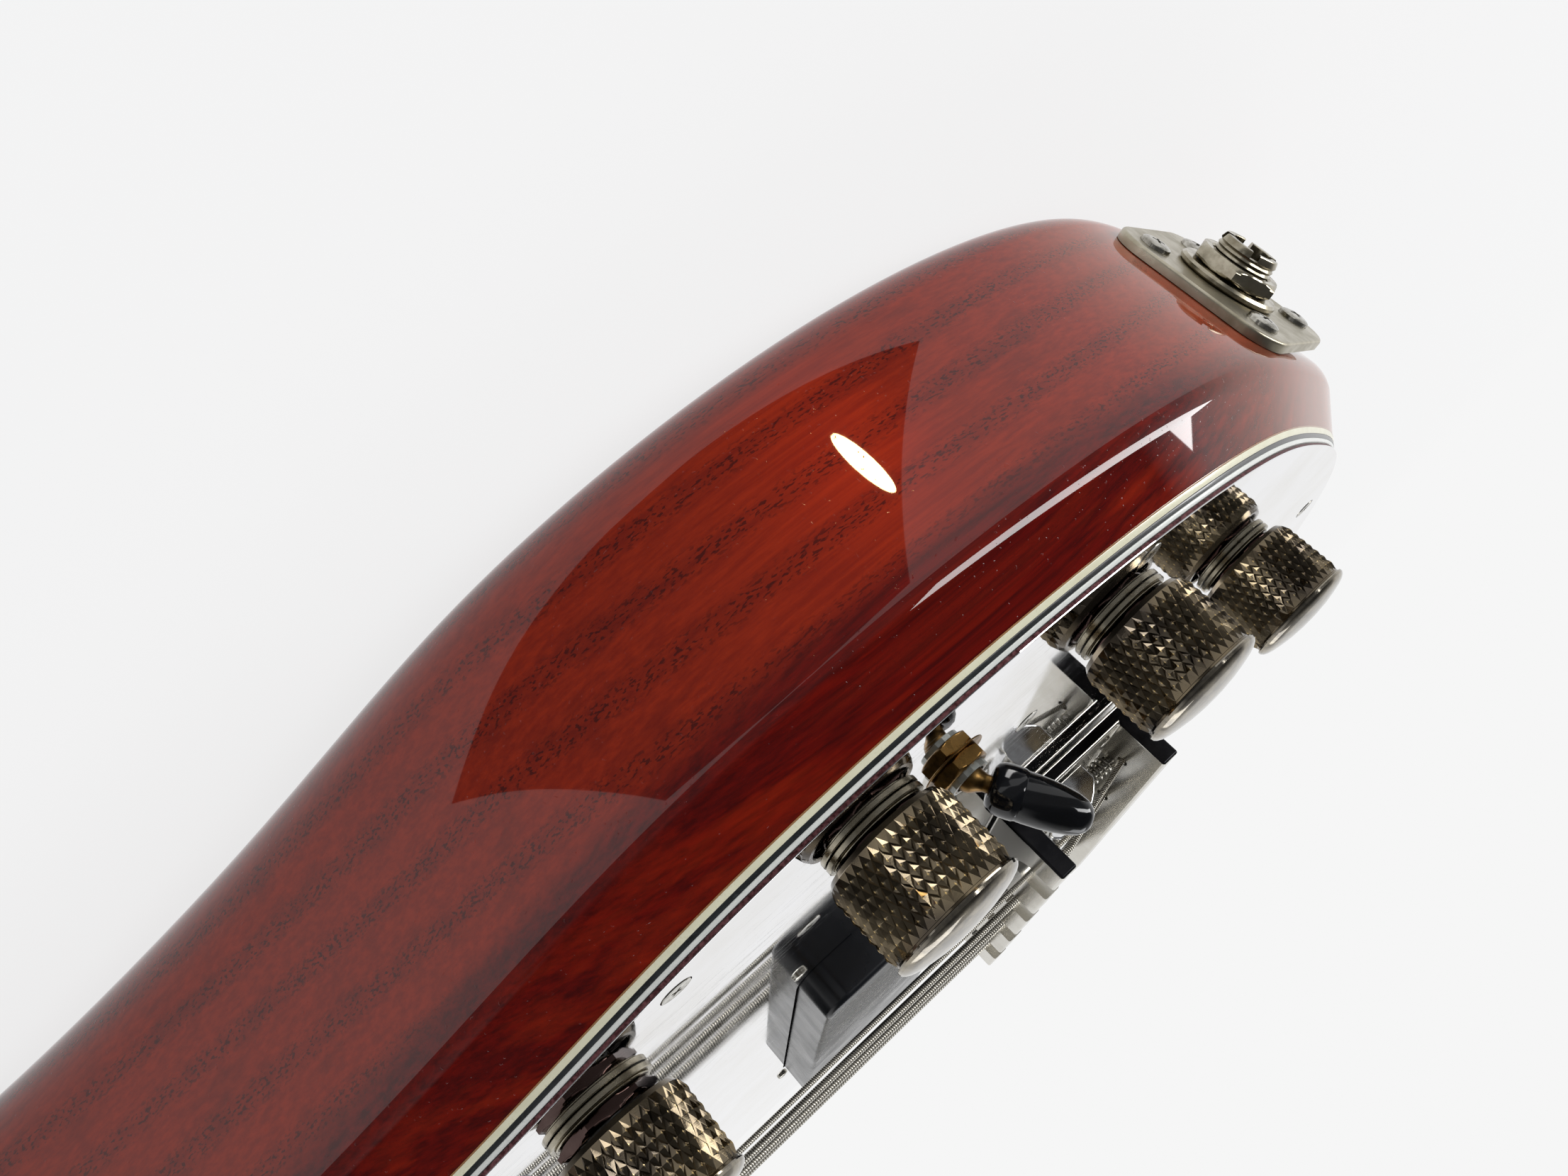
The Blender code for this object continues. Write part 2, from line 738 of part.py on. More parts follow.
def make_strings(look):
    for index, tag in enumerate(string_names):
        route = string_route(index)
        radius = string_diameters[index] / 2.0
        tube("string_" + tag, route, radius, look)
        print("string", tag, "least gap to itself", round(least_self_gap(route, radius), 2))


def make_bridge(look):
    low = plate_top + fit
    floor = low + bridge_base
    rear_out, rear_in = rear_wall_x
    front_in, front_out = front_wall_x
    shape = [(rear_out, low), (front_out, low), (front_out, plate_top + front_wall_rise),
             (front_in, plate_top + front_wall_rise), (front_in, floor), (rear_in, floor),
             (rear_in, plate_top + rear_wall_rise), (rear_out, plate_top + rear_wall_rise)]
    half = bridge_width / 2.0
    bridge = loft("bridge_frame", [[(x, -half, z) for x, z in shape], [(x, half, z) for x, z in shape]], look)
    for index, tag in enumerate(string_names):
        saddle, nut = string_line(index)
        anchor = string_route(index)[0]
        ahead = (nut - saddle) / (nut.x - saddle.x)
        middle = saddle + ahead * (front_in - saddle.x)
        cut(bridge, block("cut_slot_" + tag, (front_in - 3.0, middle.y - wall_slot / 2.0, plate_top + 8.0),
                          (front_out + 3.0, middle.y + wall_slot / 2.0, plate_top + front_wall_rise + 3.0)))
        down = (anchor - saddle).normalized()
        inside = saddle + down * (abs(rear_in - saddle.x) - 3.0)
        cut(bridge, rod("cut_anchor_" + tag, inside, anchor + down * 6.0,
                        string_diameters[index] / 2.0 + 2.0 * fit, sides=8))


def make_saddles(look):
    low = plate_top + fit + bridge_base + fit
    for index, tag in enumerate(string_names):
        saddle, nut = string_line(index)
        crown = saddle.z - string_diameters[index] / 2.0 - fit
        half = saddle_length / 2.0
        shape = [(-half, low), (half, low), (half, crown - 3.6), (half * 0.55, crown - 0.5),
                 (0.4, crown), (-0.6, crown - 0.1), (-half * 0.5, crown - 1.2), (-half, crown - 3.4)]
        sides = (saddle.y - saddle_width / 2.0, saddle.y + saddle_width / 2.0)
        loft("saddle_" + tag, [[(saddle.x + x, y, z) for x, z in shape] for y in sides], look)


def make_pickups(look):
    top = plate_top + pickup_rise
    for front, tag in ((pickup_front_bridge, "bridge"), (pickup_front_neck, "neck")):
        prism("pickup_" + tag, pickup_outline(front), top - pickup_height, top, look, pickup_bevel)


def make_controls(metal, zinc, steel):
    shelf_low = core_top - shelf
    for number in range(1, 5):
        spot = knob_spot(number)
        lift_up = knob_lift[number - 1]
        bottom = plate_top + lift_up
        grip_low, grip_high = knob_chamfer, knob_chamfer + knob_grip
        top = grip_high + knob_dome
        bore_end = top - 3.0
        knob = turned("knob_%d" % number, [
            (0.0, top), (knob_radius * 0.45, top - 0.15), (knob_radius * 0.78, top - 0.7),
            (knob_radius * 0.93, top - 1.6), (knob_radius, grip_high), (knob_radius, grip_low),
            (knob_radius - knob_chamfer, 0.0), (knob_recess, 0.0), (knob_recess, knob_recess_depth),
            (shaft_radius + 0.2, knob_recess_depth), (shaft_radius + 0.2, bore_end),
            (0.0, bore_end)], metal, 18)
        knob.location = (spot + Vector((0, 0, bottom))) * MM
        can_top = shelf_low - fit
        bore_floor = -pot_height + 2.0
        rise = plate_top + bushing_rise - can_top
        pot = turned("pot_%d" % number, [
            (0.0, -pot_height), (pot_radius, -pot_height), (pot_radius, 0.0), (bushing_radius, 0.0),
            (bushing_radius, rise), (shaft_radius + 0.25, rise), (shaft_radius + 0.25, bore_floor),
            (0.0, bore_floor)], zinc, 16)
        pot.location = (spot + Vector((0, 0, can_top))) * MM
        base = can_top + bore_floor + fit
        shaft = turned("pot_shaft_%d" % number, [
            (0.0, 0.0), (shaft_radius, 0.0), (shaft_radius, bottom + bore_end - fit - base),
            (0.0, bottom + bore_end - fit - base)], steel, 12)
        shaft.location = (spot + Vector((0, 0, base))) * MM
        nut = turned("pot_nut_%d" % number, [
            (washer_radius, 0.0), (washer_radius, washer_thickness), (bushing_radius + fit, washer_thickness),
            (bushing_radius + fit, 0.0)], steel, 18)
        collar = hex_nut("blank_pot_nut_%d" % number, nut_across, washer_thickness - 0.2,
                         washer_thickness + nut_height, bushing_radius + fit)
        fuse(nut, collar)
        turn = Matrix.Translation((spot + Vector((0, 0, plate_top + sheet_gap))) * MM)
        turn = turn @ Matrix.Rotation(math.radians(11.0 + 17.0 * number), 4, 'Z')
        nut.matrix_world = turn
        collar.matrix_world = turn


def hex_nut(name, across, low, high, bore, look=None):
    """A hexagonal nut with a round hole, as a ring of 12 points inside and out."""
    outer, inner = [], []
    for k in range(12):
        angle = math.tau * k / 12
        reach = across / 2.0 / (math.cos(math.pi / 6.0) if k % 2 else 1.0)
        outer.append((reach * math.cos(angle), reach * math.sin(angle)))
        inner.append((bore * math.cos(angle), bore * math.sin(angle)))
    rings = [[(x, y, low) for x, y in outer], [(x, y, high) for x, y in outer],
             [(x, y, high) for x, y in inner], [(x, y, low) for x, y in inner]]
    return band(name, rings, look)


def make_toggle(brass, black, zinc):
    shelf_low = core_top - shelf
    top = plate_top + toggle_pivot_rise + 0.3
    length, width, height = toggle_box
    can_top = shelf_low - fit
    body = block("toggle_body", (-length / 2.0, -width / 2.0, can_top - height),
                 (length / 2.0, width / 2.0, can_top), zinc)
    neck = rod("blank_toggle_bushing", (0, 0, can_top - 1.0), (0, 0, top), toggle_bushing)
    bore = rod("cut_toggle_bore", (0, 0, can_top - 4.0), (0, 0, top + 2.0), toggle_bore)
    spot = toggle_spot()
    shift = Matrix.Translation(spot * MM)
    for piece in (body, neck, bore):
        piece.matrix_world = shift @ piece.matrix_world
    fuse(body, neck)
    cut(body, bore)
    nut = hex_nut("toggle_nut", toggle_nut_across, 0.0, toggle_nut_height, toggle_bushing + fit, brass)
    nut.location = (spot + Vector((0, 0, plate_top + sheet_gap))) * MM

    pivot = spot + Vector((0, 0, plate_top + toggle_pivot_rise))
    along = Vector((-math.sin(toggle_lean), 0.0, math.cos(toggle_lean)))
    place = frame_at(pivot, along)
    reach = toggle_sleeve_start + 9.0
    turns = [math.pi * k / 6 for k in range(1, 5)]
    ball = [(toggle_ball * math.sin(turn), -toggle_ball * math.cos(turn)) for turn in turns]
    lever = turned("toggle_lever", [(0.0, -toggle_ball)] + ball + [(toggle_rod, toggle_ball * 0.82),
                   (toggle_rod, reach), (0.0, reach)], brass, 12)
    lever.matrix_world = place
    low, size = toggle_sleeve_start, toggle_sleeve_length
    wide = toggle_sleeve_radius
    hole = toggle_rod + 0.2
    sleeve = turned("toggle_tip", [
        (0.0, low + size), (wide * 0.3, low + size), (wide * 0.66, low + size * 0.9),
        (wide * 0.86, low + size * 0.72), (wide * 0.92, low + 4.6), (wide, low + 3.0),
        (wide * 0.97, low + 1.3), (wide * 0.72, low), (hole, low), (hole, reach + fit),
        (0.0, reach + fit)], black, 16)
    sleeve.matrix_world = place


def make_jack(satin, steel, zinc):
    frame = jack_frame()
    plate = prism("jack_plate", rounded_rectangle(jack_plate_size, jack_plate_size, jack_plate_corner),
                  0.0, jack_plate_thickness, satin, 0.3)
    hole = rod("cut_jack_plate", (0, 0, -3.0), (0, 0, 6.0), jack_bushing + fit, sides=20)
    plate.matrix_world = frame
    hole.matrix_world = frame @ hole.matrix_world
    cut(plate, hole)
    low = jack_plate_thickness + sheet_gap
    washer_high = low + 1.2
    washer = turned("jack_washer", [(8.2, low), (8.2, washer_high), (jack_bushing + fit, washer_high),
                                    (jack_bushing + fit, low)], steel, 20)
    washer.matrix_world = frame
    nut_low = washer_high + sheet_gap
    nut = hex_nut("jack_nut", nut_across, nut_low, nut_low + 2.4, jack_bushing + fit, steel)
    nut.matrix_world = frame
    socket = turned("jack_socket", [
        (jack_bushing, jack_rise), (jack_bushing, -fit), (jack_barrel, -fit),
        (jack_barrel, -jack_barrel_length), (jack_bore, -jack_barrel_length), (jack_bore, jack_rise)], zinc, 20)
    socket.matrix_world = frame


def make_strap_buttons(look):
    for tag, place in strap_frames():
        button = turned("strap_button_" + tag, [
            (0.0, -strap_screw_length), (strap_screw, -strap_screw_length + 3.0), (strap_screw, fit),
            (strap_cap * 0.8, fit), (strap_cap * 0.75, fit + 1.2), (strap_neck, 4.0), (strap_neck, 8.0),
            (strap_cap, strap_length - 2.6), (strap_cap, strap_length - 1.2), (strap_cap * 0.8, strap_length),
            (0.0, strap_length)], look, 12)
        button.matrix_world = place


def make_tuners(sheet_look, post_look, key_look):
    frame = head_frame()
    for index, tag in enumerate(string_names):
        spot = post_place(index)
        out = -1.0 if spot.y < 0.0 else 1.0
        worm_along = gear_radius + worm_radius + worm_mesh
        under = -head_thickness - fit
        sheet_low = under - tuner_sheet
        worm_z = sheet_low - fit - worm_radius
        gear_high = worm_z + gear_thickness / 2.0
        gear_low = gear_high - gear_thickness
        place = frame @ Matrix.Translation(spot * MM)

        sheet = block("tuner_plate_" + tag, (-12.0, -12.5, sheet_low), (18.0, 12.5, under), sheet_look)
        for side, inner in ((1, ear_span), (2, -ear_span - ear_thickness)):
            ear = block("blank_ear_%s_%d" % (tag, side), (worm_along - 4.6, inner, worm_z - 4.6),
                        (worm_along + 4.6, inner + ear_thickness, sheet_low + 0.5))
            ear.matrix_world = place
            fuse(sheet, ear)
        post_hole = rod("cut_tuner_post_" + tag, (0, 0, sheet_low - 2.0), (0, 0, under + 2.0),
                        post_radius + fit)
        bearing = rod("cut_tuner_bearing_" + tag, (worm_along, -20.0, worm_z), (worm_along, 20.0, worm_z),
                      key_shaft + fit, sides=12)
        for piece in (post_hole, bearing):
            piece.matrix_world = place @ piece.matrix_world
            cut(sheet, piece)
        sheet.matrix_world = place

        post = turned("tuner_post_" + tag, [
            (0.0, gear_low), (gear_radius, gear_low), (gear_radius, gear_high), (post_radius, gear_high),
            (post_radius, post_rise - 2.4), (post_radius + 0.9, post_rise - 1.4),
            (post_radius + 0.9, post_rise - 0.4), (post_radius, post_rise), (0.0, post_rise)], post_look, 16)
        post.matrix_world = place

        axis = frame_at(Vector((worm_along, 0.0, worm_z)), Vector((0.0, out, 0.0)), Vector((1.0, 0.0, 0.0)))
        worm_half = ear_span - fit
        end = ear_span + ear_thickness + 1.0
        key = turned("tuner_key_" + tag, [
            (0.0, -end), (key_shaft, -end), (key_shaft, -worm_half), (worm_radius, -worm_half),
            (worm_radius, worm_half), (key_shaft, worm_half), (key_shaft, key_reach + 4.0),
            (0.0, key_reach + 4.0)], key_look, 12)
        key.matrix_world = place @ axis
        paddle = key_paddle("blank_paddle_" + tag)
        paddle.matrix_world = place @ axis
        fuse(key, paddle)


def key_paddle(name):
    """The flat of a tuning key, longer across the shaft than along it."""
    rings = []
    for height, share in ((-0.5, 0.84), (-0.2, 1.0), (0.2, 1.0), (0.5, 0.84)):
        ring = []
        for k in range(16):
            angle = math.tau * k / 16
            waist = 1.0 - 0.08 * math.cos(2.0 * angle)
            ring.append((key_width / 2.0 * share * math.cos(angle) * waist, key_thickness * height,
                         key_reach + key_length / 2.0 + key_length / 2.0 * share * math.sin(angle)))
        rings.append(ring)
    return loft(name, rings, None)


for old in list(bpy.data.objects):
    bpy.data.objects.remove(old, do_unlink=True)

lacquer = material("red_lacquered_ash", "6E1714", 0.12, coat=1.0)
plies = material("celluloid_plies", "E9E6D6", 0.35)
mirror = material("polished_steel_plate", "E6E6E8", 0.04, metallic=1.0)
smoke = material("black_nickel_brass", "5A544E", 0.22, metallic=1.0)
nickel = material("nickel_plated_brass", "C9C6BE", 0.25, metallic=1.0)
satin_nickel = material("satin_nickel_plate", "BDBAB0", 0.38, metallic=1.0)
zinc_can = material("zinc_plated_can", "A9ABA8", 0.4, metallic=1.0)
brass = material("aged_brass", "9C8552", 0.4, metallic=1.0)
black_plastic = material("black_moulded_plastic", "101012", 0.22)
dark_casting = material("black_nickel_casting", "1C1C1E", 0.2, metallic=1.0)
chrome = material("chromed_steel", "DADBDD", 0.08, metallic=1.0)
maple = material("oiled_maple", "B98B56", 0.45)
ebony = material("ebony", "1E1815", 0.4)
bone = material("bone", "E8E0CB", 0.4)
string_steel = material("nickel_wound_steel", "C8C4BA", 0.3, metallic=1.0)

make_body(lacquer)
make_binding(plies)
make_top_plate(mirror)
make_control_cover(black_plastic)
make_neck(maple)
make_truss_rod(chrome)
make_truss_rod_cover(black_plastic)
make_fretboard(ebony)
make_nut(bone)
make_bridge(dark_casting)
make_saddles(chrome)
make_strings(string_steel)
make_pickups(black_plastic)
make_controls(smoke, zinc_can, nickel)
make_toggle(brass, black_plastic, zinc_can)
make_jack(satin_nickel, nickel, zinc_can)
make_strap_buttons(chrome)
make_tuners(chrome, chrome, chrome)
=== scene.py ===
# Fretless bass guitar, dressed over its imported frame. Lengths in the settings are millimetres.
import math

import bmesh
import bpy
import numpy as np
from mathutils import Matrix, Vector


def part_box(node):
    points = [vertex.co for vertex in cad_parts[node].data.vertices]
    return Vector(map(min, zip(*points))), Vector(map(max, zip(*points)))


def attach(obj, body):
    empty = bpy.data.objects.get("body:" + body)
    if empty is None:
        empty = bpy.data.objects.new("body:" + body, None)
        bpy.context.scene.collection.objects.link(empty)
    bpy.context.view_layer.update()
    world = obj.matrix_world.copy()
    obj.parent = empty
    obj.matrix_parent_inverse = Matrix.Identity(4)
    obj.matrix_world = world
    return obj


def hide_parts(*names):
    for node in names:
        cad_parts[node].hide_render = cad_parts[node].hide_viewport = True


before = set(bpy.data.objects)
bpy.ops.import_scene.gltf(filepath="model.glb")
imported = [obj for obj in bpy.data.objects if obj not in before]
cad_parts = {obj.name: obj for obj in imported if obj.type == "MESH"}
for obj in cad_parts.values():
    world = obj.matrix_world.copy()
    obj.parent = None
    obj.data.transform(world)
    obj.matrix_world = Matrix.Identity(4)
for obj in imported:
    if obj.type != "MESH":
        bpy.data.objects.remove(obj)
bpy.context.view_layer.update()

mm = 0.001
scene = bpy.context.scene
stringTags = ("g", "d", "a", "e")


# the camera stands where the photograph was taken, over the treble side of the bridge
cameraView = {
    "place": (0.098, -0.2615, 0.071873), "lens": 27.684, "clipStart": 0.003,
    "right": (-0.74682, -0.02272, 0.66464), "down": (0.57622, 0.47684, 0.66377),
    "ahead": (-0.332, 0.8787, -0.34302),
}


def makeCamera():
    view = cameraView
    lens = bpy.data.cameras.new("viewpoint")
    lens.lens, lens.sensor_width, lens.clip_start = view["lens"], 36.0, view["clipStart"]
    camera = bpy.data.objects.new("viewpoint", lens)
    scene.collection.objects.link(camera)
    columns = [Vector(view["right"]), -Vector(view["down"]), -Vector(view["ahead"])]
    camera.matrix_world = Matrix.Translation(view["place"]) @ Matrix(columns).transposed().to_4x4()
    scene.camera = camera


makeCamera()


def toLinear(code):
    # sRGB hex to the linear colour that the shaders take
    channels = [int(code[i:i + 2], 16) / 255.0 for i in (0, 2, 4)]
    return [c / 12.92 if c <= 0.04045 else ((c + 0.055) / 1.055) ** 2.4 for c in channels] + [1.0]


def addNode(tree, kind, inputs=None, take=None, **settings):
    # one node with its settings; each input is linked or filled, by name or by place
    node = tree.nodes.new("ShaderNode" + kind)
    for name, value in settings.items():
        setattr(node, name, value)
    for place, value in (inputs or {}).items():
        socket = node.inputs[place]
        if isinstance(value, bpy.types.NodeSocket):
            tree.links.new(value, socket)
        else:
            socket.default_value = toLinear(value) if isinstance(value, str) else value
    return node if take is None else node.outputs[take]


def newMaterial(name):
    # a material with an empty tree
    made = bpy.data.materials.new(name)
    made.use_nodes = True
    made.node_tree.nodes.clear()
    return made, made.node_tree


def noise(tree, where, scale, detail, roughness=0.5):
    return addNode(tree, "TexNoise", {"Vector": where, "Scale": scale, "Detail": detail,
                                      "Roughness": roughness}, "Fac")


def grid(tree, where, scale, turn=(0.0, 0.0, 0.0)):
    # the piece's own axes, each with a scale of its own, per metre
    return addNode(tree, "Mapping", {"Vector": where, "Rotation": turn, "Scale": scale}, "Vector")


def ramp(tree, value, low=0.0, high=1.0, start=0.0, end=1.0):
    # from start at low to end at high, and level beyond
    return addNode(tree, "MapRange", {"Value": value, "From Min": low, "From Max": high, "To Min": start,
                                      "To Max": end}, "Result")


def blend(tree, share, first, second):
    return addNode(tree, "Mix", {0: share, 6: first, 7: second}, 2, data_type='RGBA')


def sums(tree, operation, *values):
    return addNode(tree, "Math", dict(enumerate(values)), 0, operation=operation)


def relief(tree, height, distance, strength, under=None, invert=False):
    # bumps of a distance in metres, over those that are there already
    inputs = {"Height": height, "Distance": distance, "Strength": strength}
    if under is not None:
        inputs["Normal"] = under
    return addNode(tree, "Bump", inputs, "Normal", invert=invert)


def principled(made, inputs):
    # gives a material its surface
    shader = addNode(made.node_tree, "BsdfPrincipled", inputs, 0)
    addNode(made.node_tree, "OutputMaterial", {"Surface": shader})
    return made


def lacqueredAsh():
    # Ash under clear red polyester, sprayed and buffed: open pores show as dark dashes along the
    # grain where each ring began, streaks glow orange, and the thick coat mirrors the room.
    made, tree = newMaterial("red_polyester_lacquer_on_ash")
    where = addNode(tree, "TexCoord", take="Object")
    axes = addNode(tree, "SeparateXYZ", {0: where})
    # growth rings 7 mm apart, tilted across the board and bent by a slow drift
    slow = grid(tree, where, (4.0, 14.0, 14.0))
    drift = noise(tree, slow, 1.0, 2.0)
    tilted = sums(tree, 'MULTIPLY_ADD', axes.outputs["Y"], 0.28, axes.outputs["Z"])
    bent = sums(tree, 'MULTIPLY_ADD', drift, 0.014, tilted)
    ring = sums(tree, 'PINGPONG', bent, 0.0035)
    early = ramp(tree, ring, 0.0006, 0.0019, 1.0, 0.05)
    # pores 0.3 mm wide and 1 mm long, in the early wood; on the bevel the coat hides them
    poreGrid = grid(tree, where, (1100.0, 3400.0, 3400.0))
    pores = noise(tree, poreGrid, 1.0, 1.0)
    pores = ramp(tree, pores, 0.54, 0.64)
    pores = sums(tree, 'MULTIPLY', pores, early)
    bevel = ramp(tree, axes.outputs["Z"], 0.0335, 0.0365)
    side = ramp(tree, bevel, start=0.7, end=0.1)
    # fibres 0.7 mm wide, and streaks about 5 mm wide where the stain took unevenly
    fibreGrid = grid(tree, where, (14.0, 1400.0, 1400.0))
    fibres = noise(tree, fibreGrid, 1.0, 4.0, 0.65)
    fibres = ramp(tree, fibres, 0.36, 0.64)
    streakGrid = grid(tree, where, (9.0, 260.0, 260.0))
    streak = noise(tree, streakGrid, 1.0, 3.0, 0.6)
    base = blend(tree, fibres, "781A06", "8C2408")
    # the bevel is deeper red, with streaks that glow towards its upper edge
    deep = blend(tree, fibres, "400302", "640902")
    base = blend(tree, bevel, base, deep)
    glow = ramp(tree, axes.outputs["Z"], 0.036, 0.0435, 0.0, 0.42)
    bright = ramp(tree, streak, 0.45, 0.7)
    glow = sums(tree, 'MULTIPLY', glow, bright)
    base = blend(tree, glow, base, "A82C08")
    dim = ramp(tree, streak, 0.47, 0.33, end=0.25)
    base = blend(tree, dim, base, "420606")
    shade = sums(tree, 'MULTIPLY', early, 0.22)
    base = blend(tree, shade, base, "400607")
    ink = sums(tree, 'MULTIPLY', pores, side)
    base = blend(tree, ink, base, "240405")
    # towards the tail the colour turns pale: a painted reflection of the room in the lacquer
    paintedTailReflection = ramp(tree, axes.outputs["X"], 0.0, -0.085, end=0.7)
    base = blend(tree, paintedTailReflection, base, "C8805A")
    # buffing left slow waves 18 mm long, and a few dust nibs of 0.4 mm
    waves = noise(tree, where, 55.0, 1.0)
    coat = relief(tree, waves, 0.00004, 0.25)
    nibs = noise(tree, where, 2400.0, 0.0)
    nibs = ramp(tree, nibs, 0.8, 0.84)
    coat = relief(tree, nibs, 0.00003, 0.5, coat)
    sunk = relief(tree, pores, 0.00005, 0.5, invert=True)
    return principled(made, {"Base Color": base, "Roughness": 0.5, "IOR": 1.45, "Specular IOR Level": 0.0,
                             "Normal": sunk, "Coat Weight": 1.0, "Coat Roughness": 0.025, "Coat IOR": 1.5,
                             "Coat Normal": coat})


def celluloid(name, light, dark, roughness=0.3):
    # Celluloid strip, scraped level and buffed with the lacquer: faintly cloudy with fine scraper grain.
    made, tree = newMaterial(name)
    where = addNode(tree, "TexCoord", take="Object")
    long = grid(tree, where, (250.0, 500.0, 500.0))
    cloud = noise(tree, long, 1.0, 3.0)
    cloud = ramp(tree, cloud, 0.35, 0.75, end=0.5)
    grain = noise(tree, where, 3300.0, 2.0)
    speck = ramp(tree, grain, 0.5, 0.75, end=0.6)
    share = sums(tree, 'MAXIMUM', cloud, speck)
    base = blend(tree, share, light, dark)
    rough = relief(tree, grain, 0.00002, 0.4)
    return principled(made, {"Base Color": base, "Roughness": roughness, "IOR": 1.5, "Coat Weight": 0.5,
                             "Coat Roughness": 0.1, "Normal": rough})


def polishedSteel():
    # Sheet steel, mirror polished: it shows the room, with faint wiping haze and a few hairlines.
    made, tree = newMaterial("mirror_polished_steel_sheet")
    where = addNode(tree, "TexCoord", take="Object")
    haze = noise(tree, where, 45.0, 4.0, 0.6)
    base = ramp(tree, haze, 0.4, 0.7)
    base = blend(tree, base, "EDEDEF", "E0DEDB")
    dull = ramp(tree, haze, 0.45, 0.75, 0.02, 0.09)
    # hairlines 0.2 mm wide and 12 mm long, wiped on a slant
    wipe = grid(tree, where, (80.0, 5000.0, 1000.0), (0.0, 0.0, 0.5))
    hair = noise(tree, wipe, 1.0, 1.0)
    hair = ramp(tree, hair, 0.67, 0.72)
    waves = noise(tree, where, 30.0, 1.0)
    lie = relief(tree, waves, 0.00005, 0.3)
    lie = relief(tree, hair, 0.000003, 0.3, lie)
    return principled(made, {"Base Color": base, "Metallic": 1.0, "Roughness": dull, "Normal": lie})


def knurledNickel(name, dark, light, low, high):
    # Thin black nickel over rolled brass: near black in the grooves, warm grey on the bright facets.
    made, tree = newMaterial(name)
    where = addNode(tree, "TexCoord", take="Object")
    worn = noise(tree, where, 130.0, 2.0)
    share = ramp(tree, worn, 0.35, 0.7)
    base = blend(tree, share, dark, light)
    dull = ramp(tree, worn, 0.3, 0.7, low, high)
    # rolling left marks of about 0.15 mm on the facets
    marks = noise(tree, where, 6500.0, 2.0)
    marks = relief(tree, marks, 0.00001, 0.35)
    return principled(made, {"Base Color": base, "Metallic": 1.0, "Roughness": dull, "Normal": marks})


def platedMetal(name, light, dark, low, high, size=2.5, pits=0.0, metal=1.0):
    # Plated or turned metal: colour and gloss drift over size millimetres where it has dulled, and
    # pits are marks of 0.3 mm, as deep as given in millimetres.
    made, tree = newMaterial(name)
    where = addNode(tree, "TexCoord", take="Object")
    cloud = noise(tree, where, 1000.0 / size, 4.0, 0.6)
    share = ramp(tree, cloud, 0.38, 0.68)
    base = blend(tree, share, light, dark)
    dull = ramp(tree, cloud, 0.3, 0.7, low, high)
    grain = noise(tree, where, 3300.0, 2.0)
    lie = relief(tree, grain, max(pits, 0.001) * mm, 0.5)
    return principled(made, {"Base Color": base, "Metallic": metal, "Roughness": dull, "Normal": lie})


def mouldedPlastic(name, colour, sheen, roughness, grain=0.004, size=0.4):
    # Moulded plastic, almost black: gloss changes slowly from handling, with a trace of mould texture.
    made, tree = newMaterial(name)
    where = addNode(tree, "TexCoord", take="Object")
    cloud = noise(tree, where, 120.0, 3.0)
    share = ramp(tree, cloud, 0.4, 0.7)
    base = blend(tree, share, colour, sheen)
    dull = ramp(tree, cloud, 0.3, 0.75, roughness * 0.8, roughness * 1.3)
    skinMarks = noise(tree, where, 1000.0 / size, 2.0)
    lie = relief(tree, skinMarks, grain * mm, 0.5)
    return principled(made, {"Base Color": base, "Roughness": dull, "IOR": 1.49, "Normal": lie})


def oiledMaple():
    # Quarter-sawn maple, oiled: fine grain lines along the neck, with small ray flecks across them.
    made, tree = newMaterial("oiled_hard_maple")
    where = addNode(tree, "TexCoord", take="Object")
    lineGrid = grid(tree, where, (6.0, 550.0, 400.0))
    lines = noise(tree, lineGrid, 1.0, 5.0, 0.65)
    share = ramp(tree, lines, 0.36, 0.66)
    base = blend(tree, share, "CDA166", "AC7A42")
    # boards differ in tone over 30 mm and more
    toneGrid = grid(tree, where, (4.0, 30.0, 30.0))
    tone = noise(tree, toneGrid, 1.0, 2.0)
    tone = ramp(tree, tone, 0.35, 0.7, end=0.5)
    base = blend(tree, tone, base, "BE8C52")
    # ray flecks 0.7 mm wide and 3 mm long
    fleckGrid = grid(tree, where, (330.0, 1400.0, 120.0))
    fleck = noise(tree, fleckGrid, 1.0, 2.0)
    fleck = ramp(tree, fleck, 0.6, 0.7, end=0.35)
    base = blend(tree, fleck, base, "986836")
    dull = ramp(tree, lines, 0.3, 0.7, 0.36, 0.5)
    lie = relief(tree, lines, 0.00003, 0.35)
    return principled(made, {"Base Color": base, "Roughness": dull, "IOR": 1.46, "Coat Weight": 0.15,
                             "Coat Roughness": 0.3, "Normal": lie})


def oiledEbony():
    # Ebony, planed and oiled: satin, with black-brown streaks and short pores along the board.
    made, tree = newMaterial("oiled_ebony")
    where = addNode(tree, "TexCoord", take="Object")
    streakGrid = grid(tree, where, (5.0, 160.0, 160.0))
    streak = noise(tree, streakGrid, 1.0, 4.0, 0.6)
    share = ramp(tree, streak, 0.42, 0.68)
    base = blend(tree, share, "15100D", "36261B")
    # pores 0.25 mm wide and 3 mm long
    poreGrid = grid(tree, where, (330.0, 4000.0, 4000.0))
    pores = noise(tree, poreGrid, 1.0, 1.0)
    pores = ramp(tree, pores, 0.62, 0.7)
    base = blend(tree, pores, base, "070505")
    dull = ramp(tree, streak, 0.35, 0.7, 0.3, 0.44)
    lie = relief(tree, pores, 0.00003, 0.5, invert=True)
    return principled(made, {"Base Color": base, "Roughness": dull, "IOR": 1.5, "Normal": lie})


